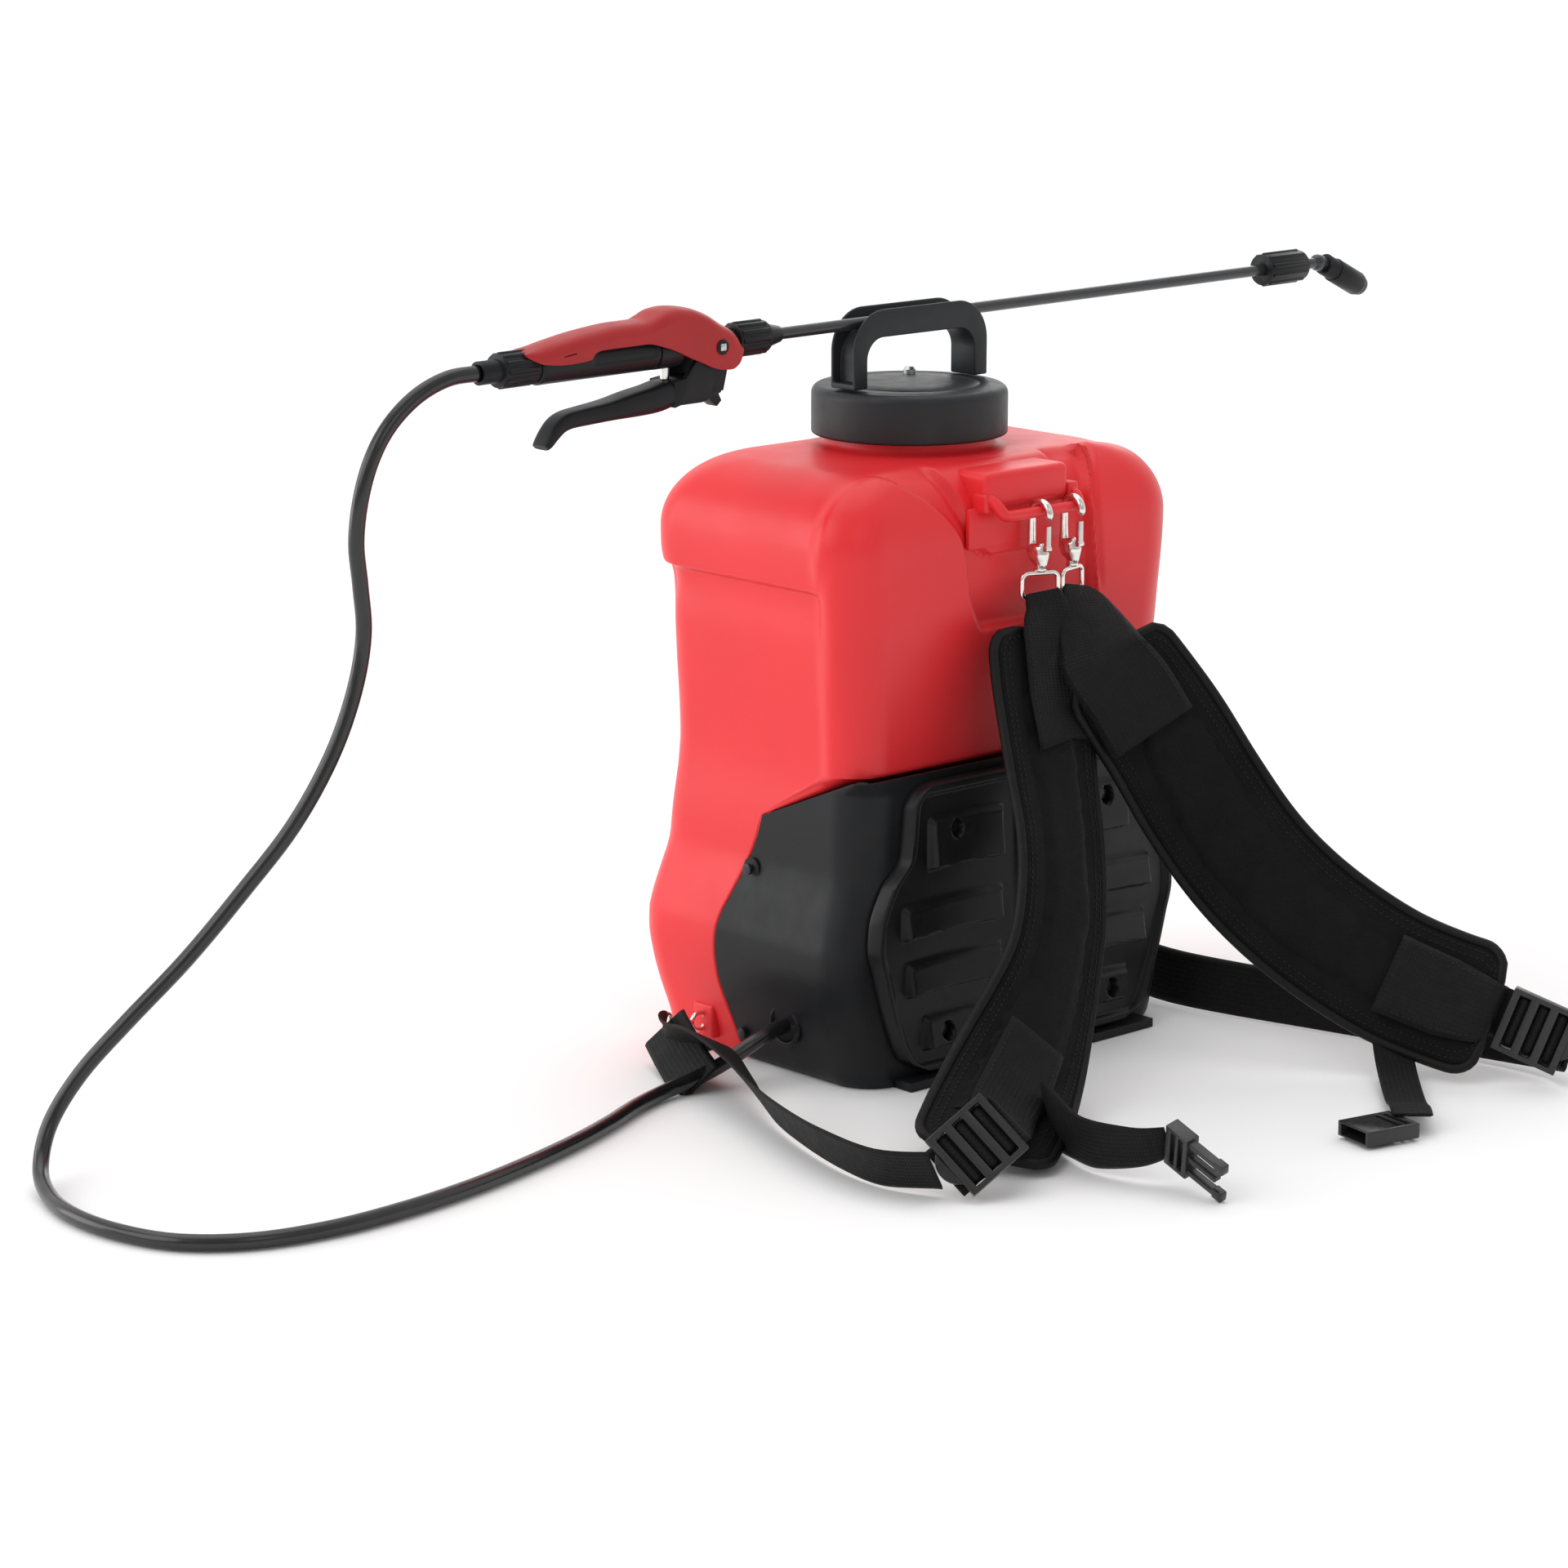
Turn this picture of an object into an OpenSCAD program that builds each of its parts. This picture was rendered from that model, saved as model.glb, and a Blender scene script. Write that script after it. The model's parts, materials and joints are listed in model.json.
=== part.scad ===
// Battery knapsack sprayer: tank, pump compartment, harness, hose, gun and lance.
// Origin: centre of the tank's base on the ground. +X runs along the stowed lance to
// the nozzle, -Y faces the wearer's back, +Z is up.

/* [Tank] */
// Wall thickness of the blow-moulded tank
tank_wall = 3; // [2.5:0.5:4]
// Height of the tank's flat top
tank_top = 410; // [408:1:411]
// Outside radius of the filling neck
neck_r = 58; // [56:0.5:59]
// Height of the filling neck's mouth
neck_top = 445; // [443:1:446]

/* [Cap] */
// Outside radius of the screw cap
cap_r = 67.5; // [66:0.5:70]
// Height of the cap's lower edge
cap_z0 = 420; // [418:1:424]
// Height of the cap's flat top
cap_z1 = 455; // [454:1:457]
// Height of the top of the carrying handle
handle_top = 508; // [506:1:510]
// Width of the handle, across the lance
handle_w = 24; // [23:1:28]
// Width of the channel that holds the lance
channel_w = 19; // [17:1:20]

/* [Lance] */
// Diameter of the lance tube
lance_d = 8; // [7:0.5:8]
// Height of the lance's axis above the middle of the tank
lance_z = 499; // [498.5:0.1:500]
// Upward slope of the stowed lance, in degrees
lance_tilt = 0.56; // [0:0.02:0.7]

/* [Hose] */
// Outside diameter of the hose
hose_d = 10.5; // [9:0.5:11]

/* [Harness] */
// Width of a shoulder pad
pad_w = 90; // [80:1:92]
// Thickness of a shoulder pad
pad_t = 12; // [8:1:13]
// Width of the strap webbing
web_w = 38; // [30:1:40]
// Thickness of the strap webbing
web_t = 2.4; // [1.6:0.2:2.6]
// Width of the chest strap webbing
chest_w = 25; // [20:1:28]

/* [Hidden] */

red = "#d8232f";
black = "#26272a";
nickel = "#c9c6c0";
grey = "#6d7075";
$fn = 48;
clear = 0.3;        // running and seating clearance between neighbours
ring_steps = 5;     // chords in each rounded corner of a tank ring

// ---------- shared geometry ----------
// One horizontal ring: a rounded rectangle, front (-y) and rear corners rounded apart.
function ring(z, xh, yn, yp, rn, rp) = [for (c = [0:3]) for (i = [0:ring_steps])
  let (a = 90 * (c + i / ring_steps), r = c < 2 ? rp : rn,
       cx = (c == 0 || c == 3 ? 1 : -1) * (xh - r), cy = c < 2 ? yp - r : yn + r)
  [cx + r * cos(a), cy + r * sin(a), z]];

// A closed solid through rings that all have the same number of points.
module loft(rings) {
  n = len(rings[0]);
  m = len(rings);
  polyhedron(points = [for (r = rings) each r],
    faces = concat([[for (j = [0:n - 1]) j]], [[for (j = [n - 1:-1:0]) (m - 1) * n + j]],
      [for (i = [0:m - 2]) for (j = [0:n - 1]) let (k = (j + 1) % n)
        each [[i * n + j, (i + 1) * n + j, (i + 1) * n + k],
              [i * n + j, (i + 1) * n + k, i * n + k]]]));
}

function unit(v) = v / norm(v);
function path_dir(p, i) = unit(p[min(i + 1, len(p) - 1)] - p[max(i - 1, 0)]);
// Catmull-Rom point on span i of a path
function spline_at(p, i, t) = let (a = p[max(i - 1, 0)], b = p[i], c = p[i + 1],
  d = p[min(i + 2, len(p) - 1)])
  0.5 * (2 * b + (c - a) * t + (2 * a - 5 * b + 4 * c - d) * t * t
    + (3 * b - a - 3 * c + d) * t * t * t);
function smooth(p, per) = [for (i = [0:len(p) - 2]) for (k = [0:per - 1])
  spline_at(p, i, k / per), p[len(p) - 1]];

// Round bar of radius r swept along path p with the given number of sides
module round_sweep(p, r, sides, ref) {
  loft([for (i = [0:len(p) - 1]) let (t = path_dir(p, i), w = unit(cross(ref, t)),
    n = cross(t, w)) [for (k = [0:sides - 1]) p[i] + r * (w * cos(360 * k / sides)
    + n * sin(360 * k / sides))]]);
}

// Flat band: each station is [centre, width direction]; w and t are its full sizes,
// and lean rounds its edges
module band(stations, w, t, lean) {
  c = [for (s = stations) s[0]];
  e = w / 2 - lean;
  section = [[w / 2, 0], [e, t / 2], [0, t / 2], [-e, t / 2], [-w / 2, 0], [-e, -t / 2],
    [0, -t / 2], [e, -t / 2]];
  loft([for (i = [0:len(c) - 1]) let (d = path_dir(c, i),
    u = unit(stations[i][1] - d * (stations[i][1] * d)), n = cross(d, u))
    [for (q = section) c[i] + q[0] * u + q[1] * n]]);
}

module along_x(x0, x1, r) {
  translate([x0, 0, 0]) rotate([0, 90, 0]) cylinder(r = r, h = x1 - x0);
}
module along_y(x, z, y0, y1, r) {
  translate([x, y1, z]) rotate([90, 0, 0]) cylinder(r = r, h = y1 - y0);
}
module box(lo, hi) { translate(lo) cube(hi - lo); }
// Straight wall with an outline drawn in the XZ plane, from y0 to y1
module side_plate(y0, y1) {
  translate([0, y1, 0]) rotate([90, 0, 0]) linear_extrude(y1 - y0) children();
}
// 2D block with its two upper corners rounded, standing on y = z0
module arch_2d(half, z0, z1, r) {
  intersection() {
    union() {
      translate([-half, z0]) square([2 * half, z1 - r - z0]);
      translate([-half + r, z0]) square([2 * half - 2 * r, z1 - z0]);
      for (s = [-1, 1]) translate([s * (half - r), z1 - r]) circle(r);
    }
    translate([-half, z0]) square([2 * half, z1 - z0]);
  }
}

// ---------- tank ----------
// Heights, half widths and rear faces of the tank; the front steps back over the
// pump compartment along the seam
tank_low = [[0, 143, 5, 94], [6, 148, 6, 98], [20, 151, 10, 100], [40, 156, 15, 104],
  [60, 160, 20, 107], [80, 162, 21, 109], [100, 160, 18, 108], [120, 156, 9, 104],
  [140, 153, 0, 100], [160, 151, -9, 98]];
seam_low = [176, -14];
seam_high = [213, -103];
tank_front = -104;
tank_high = [[213, 149], [270, 149], [328, 149], [336, 154], [344, 156.5], [360, 157]];
shoulder_z = 362;
shoulder_r = 48;
shoulder_half = 157;
side_r = 32;
edge_r = 2;
// depth of the rear face below the shoulder, and over it
rear_low = 95;
rear_high = 100;
shoulder_steps = 4;

function tank_rings(w) = concat(
  [for (s = tank_low) ring(max(s[0], w), s[1] - w, s[2] + w, s[3] - w, edge_r, side_r - w)],
  [for (k = [0:2]) let (f = k / 2, y = seam_low[1] + f * (seam_high[1] - seam_low[1]))
    ring(seam_low[0] + f * (seam_high[0] - seam_low[0]) + w, 150 - f - w, y + w,
      97 - 2 * f - w, edge_r + f * 24, side_r - w)],
  [for (s = tank_high) ring(s[0] + (s[0] == seam_high[0] ? w + 3 : 0), s[1] - w,
    tank_front + w, (s[0] < 330 ? rear_low : rear_high) - w, side_r - w, side_r - w)],
  [for (k = [0:shoulder_steps]) let (a = 90 * k / shoulder_steps,
    d = shoulder_r * (1 - cos(a)))
    ring(shoulder_z + (shoulder_r - w) * sin(a), shoulder_half - w - d * (1 - w / shoulder_r),
      tank_front + w + d * 0.7, rear_high - w - d * 0.7, side_r, side_r)]);
function flip(list) = [for (i = [len(list) - 1:-1:0]) list[i]];
function round_ring(z, r) = ring(z, r, -r, r, r, r);

module tank_shell() {
  color(red) difference() {
    loft(concat(tank_rings(0), [round_ring(tank_top + 1, neck_r + 3),
      round_ring(neck_top, neck_r), round_ring(neck_top, neck_r - 5.5),
      round_ring(tank_top - tank_wall, neck_r - 5.5)], flip(tank_rings(tank_wall))));
    along_y(outlet_x, outlet_z, -20, 40, outlet_r);
  }
}

// Moulded loop on the strap side that the upper hooks hang from
bar_y = -121;
bar_z = 379;
bar_r = 4;
module hanger_loop() {
  color(red) {
    box([-54, -109, 352], [50, -101, 388]);
    translate([-30, bar_y, bar_z]) rotate([0, 90, 0]) cylinder(r = bar_r, h = 76);
    for (x = [-30, 40]) box([x, bar_y, bar_z - 4], [x + 6, -108, bar_z + 4]);
  }
}

// ---------- pump compartment ----------
cover_front = -112;
cover_wall = 2.5;
cover_r = 30;
seam_gap = 0.6;
cover_low = [for (s = tank_low) if (s[0] != 6) [s[0], s[1], s[2]]];
function cover_rings(w, back, low, high) = concat(
  [for (s = cover_low) ring(s[0] == 0 ? low : s[0], s[1] - w, cover_front + w,
    s[2] - seam_gap + back, cover_r - w, edge_r)],
  [ring(seam_low[0] + high, 150 - w, cover_front + w, seam_low[1] - seam_gap + back,
      cover_r - w, edge_r),
   ring(seam_high[0] - 1 + high, 149 - w, cover_front + w, seam_high[1] + back,
     cover_r / 6, edge_r)]);

// Pocket in the left side where the hose comes out, and the switch on the right side
gland_pos = [-152, -44, 36];
module base_cover() {
  color(black) difference() {
    loft(cover_rings(0, 0, 0, 0));
    loft(cover_rings(cover_wall, 60, cover_wall, 30));
    translate(gland_pos) rotate([0, 90, 0]) cylinder(r = 11.2, h = 40, center = true);
    box([switch_x - 4, switch_y - 17, switch_z - 12],
      [switch_x + 20, switch_y + 17, switch_z + 12]);
    translate([switch_x - 6, socket_y, switch_z]) rotate([0, 90, 0])
      cylinder(r = 7.3, h = 30);
    for (p = cover_screw_pos) translate(p) rotate([0, 90, 0])
      cylinder(r = screw_r + 0.2, h = 24, center = true);
    for (p = plate_screw_pos) along_y(p[0], p[1], cover_front - 1, cover_front + 4,
      screw_r + 0.2);
  }
}

screw_r = 2;
screw_head_r = 4;
cover_screw_pos = [[-151.5, -6.5, 138], [151.5, -6.5, 138], [-149, 2, 20], [149, 2, 20]];
module cover_screws() {
  color(nickel) for (p = cover_screw_pos) translate(p) rotate([0, p[0] < 0 ? 90 : -90, 0]) {
    translate([0, 0, -5.6]) cylinder(r = screw_head_r, h = 2.6);
    translate([0, 0, -3.2]) cylinder(r = screw_r, h = 8);
  }
}

// Ribbed pad that rests against the wearer's back
plate_half = [[7, 90], [19, 116], [44, 128], [80, 139], [100, 144], [114, 143],
  [140, 132], [159, 116], [192, 113], [203, 104], [207, 94]];
plate_y = cover_front - clear;
plate_base = 6;
plate_lip = 10;
rib_rise = 14;
rib_z = [[22, 48], [62, 88], [102, 128], [146, 184]];
rib_in = 24;
rib_out = [100, 116, 120, 96];
module plate_outline() {
  polygon(concat([for (p = plate_half) [p[1], p[0]]],
    [for (p = flip(plate_half)) [-p[1], p[0]]]));
}
module back_plate() {
  color("#33343a") difference() {
    union() {
      side_plate(plate_y - plate_base, plate_y) plate_outline();
      side_plate(plate_y - plate_lip, plate_y) difference() {
        plate_outline();
        translate([0, 8]) scale(0.93) plate_outline();
      }
      for (i = [0:3]) for (s = [-1, 1]) box(
        [min(s * rib_in, s * rib_out[i]), plate_y - rib_rise, rib_z[i][0]],
        [max(s * rib_in, s * rib_out[i]), plate_y, rib_z[i][1]]);
    }
    for (p = plate_screw_pos) {
      along_y(p[0], p[1], plate_y - 30, plate_y - 5, screw_head_r + 0.5);
      along_y(p[0], p[1], plate_y - 30, plate_y + 1, screw_r + 0.2);
    }
  }
}
plate_screw_pos = [[-72, 174], [72, 174], [-80, 35], [80, 35]];
module plate_screws() {
  color(nickel) for (p = plate_screw_pos) {
    along_y(p[0], p[1], plate_y - 7.5, plate_y - 5, screw_head_r);
    along_y(p[0], p[1], plate_y - 5.2, cover_front + 8, screw_r);
  }
}

module base_feet() {
  color(black) for (s = [-1, 1]) box([s * 88 - 30, -128, 0], [s * 88 + 30, cover_front - clear, 6]);
}

// ---------- inside the compartment ----------
module battery_pack() {
  color("#3a3f46") {
    box([-20, -102, 4], [131, -37, 96]);
    for (x = [-4, 112]) box([x, -74, 96], [x + 5, -66, 102]);
  }
}

pump_x = -92;
pump_y = -66;
module pump_head() {
  color(black) difference() {
    box([pump_x - 32, pump_y - 30, 8], [pump_x + 32, pump_y + 30, 62]);
    translate([pump_x, pump_y, 40]) cylinder(r = 12, h = 30);
    translate([pump_x + 20, pump_y + 15, 24]) rotate([-90, 0, 0]) cylinder(r = 5, h = 30);
    translate([pump_x - 40, gland_pos[1], gland_pos[2]]) rotate([0, 90, 0])
      cylinder(r = 5, h = 20);
  }
}
motor_r = 23;
module pump_motor() {
  color(grey) difference() {
    translate([pump_x, pump_y, 62 + clear]) cylinder(r = motor_r, h = 66);
    translate([pump_x, pump_y, 65]) cylinder(r = motor_r - 2, h = 60);
    translate([pump_x, pump_y, 60]) cylinder(r = 3.05, h = 80);
  }
}
module motor_rotor() {
  color("#8a5a34") translate([pump_x, pump_y, 0]) {
    translate([0, 0, 44]) cylinder(r = 3, h = 88);
    translate([0, 0, 70]) cylinder(r = 17, h = 48);
    translate([2, 0, 46]) cylinder(r = 8, h = 10);
  }
}
module control_board() {
  color("#2f6b45") box([-10, -104, 120], [70, -102, 170]);
  color(black) for (x = [2, 24, 46]) box([x, -102, 130], [x + 14, -92, 150]);
}

outlet_x = -40;
outlet_z = 26;
outlet_r = 8;
outlet_y = 11;      // tank wall's outer face at the outlet
module tank_outlet() {
  color(black) difference() {
    union() {
      along_y(outlet_x, outlet_z, outlet_y - 12, outlet_y + 16, outlet_r - 0.2);
      along_y(outlet_x, outlet_z, outlet_y - 8, outlet_y - 3.2, 13);
      along_y(outlet_x, outlet_z, outlet_y + 7.5, outlet_y + 13, 13);
    }
    along_y(outlet_x, outlet_z, outlet_y - 20, outlet_y + 40, 4);
  }
}
module suction_strainer() {
  color("#d8d8d2") difference() {
    along_y(outlet_x, outlet_z, outlet_y + 16.2, outlet_y + 60, 13);
    along_y(outlet_x, outlet_z, outlet_y + 16, outlet_y + 57, 11.5);
    for (k = [0:5]) along_y_slot(k);
  }
}
module along_y_slot(k) {
  translate([outlet_x, 0, outlet_z]) rotate([0, 60 * k, 0])
    box([-2, outlet_y + 22, 9], [2, outlet_y + 52, 16]);
}
tube_r = 4.8;
suction_route = [[-40, -1.8, 26], [-40, -12, 26], [-46, -22, 25], [-60, -24, 24],
  [-70, -28, 24], [-72, -35.6, 24]];
module suction_tube() { color(grey) round_sweep(smooth(suction_route, 2), tube_r, 10, [0, 0, 1]); }
module delivery_tube() {
  color(grey) difference() {
    translate([-138, gland_pos[1], gland_pos[2]]) rotate([0, 90, 0])
      cylinder(r = tube_r, h = 25.6);
    translate([-139, gland_pos[1], gland_pos[2]]) rotate([0, 90, 0]) cylinder(r = 3, h = 28);
  }
}
module hose_outlet() {
  color(black) translate(gland_pos) rotate([0, 90, 0]) difference() {
    union() {
      cylinder(r = 8, h = 13.8);
      translate([0, 0, 5]) cylinder(r = 10.8, h = 8);
    }
    translate([0, 0, 1]) cylinder(r = 3, h = 14);
  }
}

switch_x = 150;
switch_y = -62;
switch_z = 62;
socket_y = -30;
module switch_housing() {
  color(black) difference() {
    box([switch_x - 12, switch_y - 16.5, switch_z - 11.5],
      [switch_x + 12, switch_y + 16.5, switch_z + 11.5]);
    box([switch_x + 1, switch_y - 11, switch_z - 7], [switch_x + 14, switch_y + 11, switch_z + 7]);
    along_y(switch_x + 8, switch_z, switch_y - 13, switch_y + 13, 1.55);
  }
}
// The rocker rests in its off position and tips by twice its tilt
rocker_tilt = 8;
module switch_rocker() {
  pin_x = switch_x + 8;
  color(red) translate([pin_x, switch_y, switch_z]) rotate([0, rocker_tilt, 0]) {
    side_plate(-10.4, 10.4) polygon([[0, -6.2], [6, -6], [3.6, 0], [6, 6], [0, 6.2],
      [-3, 2], [-3, -2]]);
    along_y(0, 0, -12.8, 12.8, 1.5);
  }
}
module charge_socket() {
  color(black) translate([switch_x - 6, socket_y, switch_z]) rotate([0, 90, 0]) difference() {
    union() {
      cylinder(r = 7, h = 19);
      translate([0, 0, 17.6]) cylinder(r = 10, h = 2);
    }
    translate([0, 0, 6]) cylinder(r = 3.2, h = 20);
  }
}

// ---------- cap ----------
basket_r = 50;
basket_z = 350;
module filter_basket() {
  color(black) difference() {
    union() {
      translate([0, 0, basket_z]) cylinder(r = basket_r, h = neck_top - basket_z);
      translate([0, 0, neck_top]) cylinder(r = neck_r - 1, h = 2);
    }
    translate([0, 0, basket_z + 2]) cylinder(r = basket_r - 2, h = 120);
    for (k = [0:11]) rotate([0, 0, 30 * k]) box([basket_r - 8, -9, basket_z + 14],
      [basket_r + 4, 9, neck_top - 14]);
  }
}
module cap_gasket() {
  color("#1b1b1d") translate([0, 0, neck_top + 2]) difference() {
    cylinder(r = neck_r, h = 1.8);
    translate([0, 0, -1]) cylinder(r = neck_r - 6, h = 5);
  }
}
cap_roof = neck_top + 4;
cap_edge = 5;
module cap_lid() {
  bore = neck_r + 3.5;
  color(black) rotate_extrude() polygon(concat(
    [[0, cap_roof], [bore, cap_roof], [bore, cap_z0], [cap_r - 1, cap_z0], [cap_r, cap_z0 + 1]],
    [for (k = [0:5]) [cap_r - cap_edge + cap_edge * cos(18 * k),
      cap_z1 - cap_edge + cap_edge * sin(18 * k)]],
    [[0, cap_z1]]));
}
handle_half = 63;
window_half = 50.5;
window_top = 489;
channel_floor = 494;
module cap_handle() {
  color(black) difference() {
    side_plate(-handle_w / 2, handle_w / 2) difference() {
      arch_2d(handle_half, cap_z1, handle_top, 28);
      arch_2d(window_half, cap_z1 - 1, window_top, 15);
    }
    side_plate(-channel_w / 2, channel_w / 2) difference() {
      translate([-80, cap_z1 + 4]) square([160, 80]);
      arch_2d(window_half + 5, cap_z1 - 2, channel_floor, 20);
    }
  }
}
module vent_valve() {
  color("#b9bcc0") translate([25, 26, cap_z1]) {
    cylinder(r = 4.5, h = 3);
    translate([0, 0, 3]) cylinder(r1 = 4.5, r2 = 3, h = 2);
  }
}

// ---------- hose ----------
hose_rest = hose_d / 2;
// Route of the hose from the gland to the gun; "low" points lie on the ground
hose_route = [[-152.5, -44, 36], [-168, -45, 35], [-186, -44, 29], [-203, -38, 19],
  [-224, -30, 9.5], [-250, -29, 5.6], [-285, -40, 5.3], [-325, -58, 5.3], [-368, -74, 5.3],
  [-420, -89, 5.3], [-475, -101, 5.3], [-530, -107, 5.3], [-585, -106, 5.3],
  [-633, -93, 5.3], [-668, -64, 5.3], [-684, -22, 5.3], [-686, 22, 5.3],
  [-676, 62, 5.6], [-662, 92, 13], [-646, 104, 36], [-626, 98, 66], [-600, 83, 98],
  [-566, 65, 136], [-533, 48, 178], [-504, 33, 218], [-480, 24, 260],
  [-464, 20, 300], [-457, 18, 336], [-461, 15, 368], [-465, 13, 396], [-463, 10, 424],
  [-455, 8, 449], [-441, 7, 469], [-421, 5, 485], [-399, 2, 494], [-377.7, 0, 495.3]];
module hose_tube() { color(black) round_sweep(smooth(hose_route, 2), hose_d / 2, 8, [0.5, -0.6, -0.6]); }

// ---------- gun and lance, drawn about their own axis ----------
module on_lance() { translate([0, 0, lance_z]) rotate([0, -lance_tilt, 0]) children(); }
grip_x0 = -333;
grip_x1 = -234;
grip_r = 12.5;
shell_half = 15.5;
arm_in = 9;
arm_out = 12.6;
pivot_x = -185;
pivot_z = -1;
pin_r = 3;
valve_r = 8;
valve_wide_x = -215;
stem_x = -222;
stem_r = 3;

module gun_grip() {
  color(black) on_lance() difference() {
    along_x(grip_x0, grip_x1, grip_r);
    along_x(grip_x0 - 1, grip_x1 + 1, 4);
  }
}
shell_top = [[-345, 10], [-319, 15], [-290, 19], [-262, 21], [-244, 21], [-230, 27],
  [-208, 26], [-196, 22], [-182, 14], [-170, 7], [-164, 0], [-165, -8], [-172, -15]];
shell_low = [[-184, -16], [-206, -8], [-232, 3], [-250, 7], [-292, 7], [-294, 3],
  [-315, 1], [-332, 4]];
module gun_shell() {
  color(red) on_lance() difference() {
    side_plate(-shell_half, shell_half) polygon(concat(shell_top, shell_low));
    along_x(grip_x0 - 20, grip_x1 + 1, grip_r + 0.2);
    along_x(grip_x1, -150, valve_r + 0.4);
    along_x(grip_x1, valve_wide_x + clear, grip_r + 0.2);
    // space for the lever's two arms
    for (s = [-1, 1]) translate([0, s * (arm_in + arm_out) / 2, 0]) side_plate(-2.2, 2.2)
      polygon([[-160, -30], [-160, 6], [-176, 10], [-200, 10], [-224, 4], [-238, -2],
        [-238, -30]]);
    along_y(pivot_x, pivot_z, -20, 20, pin_r + 0.05);
  }
}
module lever_pin() {
  color(nickel) on_lance() for (s = [-1, 1]) {
    along_y(pivot_x, pivot_z, min(s * 8.8, s * shell_half), max(s * 8.8, s * shell_half), pin_r);
    along_y(pivot_x, pivot_z, min(s * shell_half, s * 16.7), max(s * shell_half, s * 16.7), 5);
  }
}
lever_half = 12.6;
lever_outline = [[-214, -19], [-236, -22], [-288, -28.5], [-308, -30.5], [-325, -34],
  [-332, -52], [-322, -54], [-310, -42], [-268, -41], [-236, -40], [-219, -36],
  [-200, -36], [-184, -31], [-182, -20]];
lever_arm = [[-214, -30], [-214, -19], [-196, 2], [-190, 6], [-180, 6], [-175, 1],
  [-177, -12], [-182, -30]];
module trigger_lever() {
  color(black) on_lance() difference() {
    union() {
      side_plate(-lever_half, lever_half) polygon(lever_outline);
      for (s = [-1, 1]) side_plate(min(s * arm_in, s * arm_out), max(s * arm_in, s * arm_out))
        polygon(lever_arm);
    }
    along_y(pivot_x, pivot_z, -20, 20, pin_r + 0.05);
    along_y(lock_x, lock_z, -20, 20, lock_pin_r + 0.05);
    side_plate(-lock_half - 0.4, lock_half + 0.4) polygon([[-202, -40], [-202, -25],
      [-194, -19], [-160, -18], [-160, -45]]);
  }
}
lock_x = -190;
lock_z = -28;
lock_pin_r = 1.5;
lock_half = 5;
module lever_lock() {
  color(black) on_lance() {
    along_y(lock_x, lock_z, -lever_half, lever_half, lock_pin_r);
    side_plate(-lock_half, lock_half) polygon([[-193.5, -25], [-187, -24.5], [-181, -30],
      [-177, -38], [-181, -41.5], [-186, -38], [-189, -32], [-194, -31]]);
  }
}
module valve_body() {
  color(black) on_lance() difference() {
    union() {
      along_x(grip_x1 + clear, -164, valve_r);
      along_x(grip_x1 + clear, valve_wide_x, grip_r);
    }
    along_x(grip_x1 - 1, -228, 4);
    along_x(-216, -160, 4);
    translate([stem_x, 0, -20]) cylinder(r = stem_r + 0.06, h = 20);
    translate([stem_x, 0, -6]) cylinder(r = 5.2, h = 14);
  }
}
stem_low = -19.3;
module valve_stem() {
  color(nickel) on_lance() translate([stem_x, 0, 0]) {
    translate([0, 0, stem_low]) cylinder(r = stem_r, h = 15.3);
    translate([0, 0, -4]) cylinder(r = 4.6, h = 2);
  }
}
spring_turns = 4;
spring_z0 = -1.4;
spring_z1 = 7.2;
module valve_spring() {
  path = [for (k = [0:10 * spring_turns]) [3.6 * cos(36 * k), 3.6 * sin(36 * k),
    spring_z0 + (spring_z1 - spring_z0) * k / (10 * spring_turns)]];
  color(nickel) on_lance() translate([stem_x, 0, 0]) round_sweep(path, 0.45, 6, [0, 0, 1]);
}
// Knurled union nut on the X axis: a body with grip ribs, and a bore
module ribbed_nut(x0, x1, r, bore, ribs) {
  difference() {
    union() {
      along_x(x0, x1, r - 1.2);
      for (k = [0:ribs - 1]) rotate([360 * k / ribs, 0, 0]) translate([0, 0, r - 2])
        along_x(x0 + 2, x1 - 2, 1.9);
    }
    along_x(x0 - 1, x1 + 1, bore);
  }
}
module hose_nut() {
  color(black) on_lance() {
    ribbed_nut(-362, grip_x0 - clear, 12, 5.5, 12);
    difference() {
      along_x(-377, -361, 7.6);
      along_x(-378, -360, 5.5);
    }
  }
}
module lance_nut() {
  color(black) on_lance() {
    ribbed_nut(-163.6, -136, 12, 4.1, 12);
    difference() {
      translate([-137, 0, 0]) rotate([0, 90, 0]) cylinder(r1 = 9, r2 = 5.6, h = 15);
      along_x(-138, -120, 4.1);
    }
  }
}
tube_x0 = -152;
tube_x1 = 372;
module lance_tube() {
  color("#3a3c40") on_lance() difference() {
    along_x(tube_x0, tube_x1, lance_d / 2);
    along_x(tube_x0 - 1, tube_x1 + 1, lance_d / 2 - 1.2);
  }
}
module nozzle_nut() {
  color(black) on_lance() {
    ribbed_nut(358, 398, 12.5, 4.1, 10);
    for (x = [358, 394]) difference() {
      along_x(x, x + 5, 11);
      along_x(x - 1, x + 6, 4.1);
    }
  }
}
elbow_drop = 26;
elbow_x = 424;
module nozzle_elbow() {
  color("#3a3c40") on_lance() difference() {
    union() {
      along_x(tube_x1 + clear, elbow_x, 4);
      translate([elbow_x, 0, 0]) rotate([0, elbow_drop, 0]) along_x(-3, 12, 4.8);
      translate([elbow_x - 4, 0, 0]) sphere(r = 6.2);
    }
    along_x(tube_x1, elbow_x - 4, 2);
    translate([elbow_x, 0, 0]) rotate([0, elbow_drop, 0]) along_x(-2, 13, 2);
  }
}
module on_tip() { on_lance() translate([elbow_x, 0, 0]) rotate([0, elbow_drop, 0]) children(); }
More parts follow.
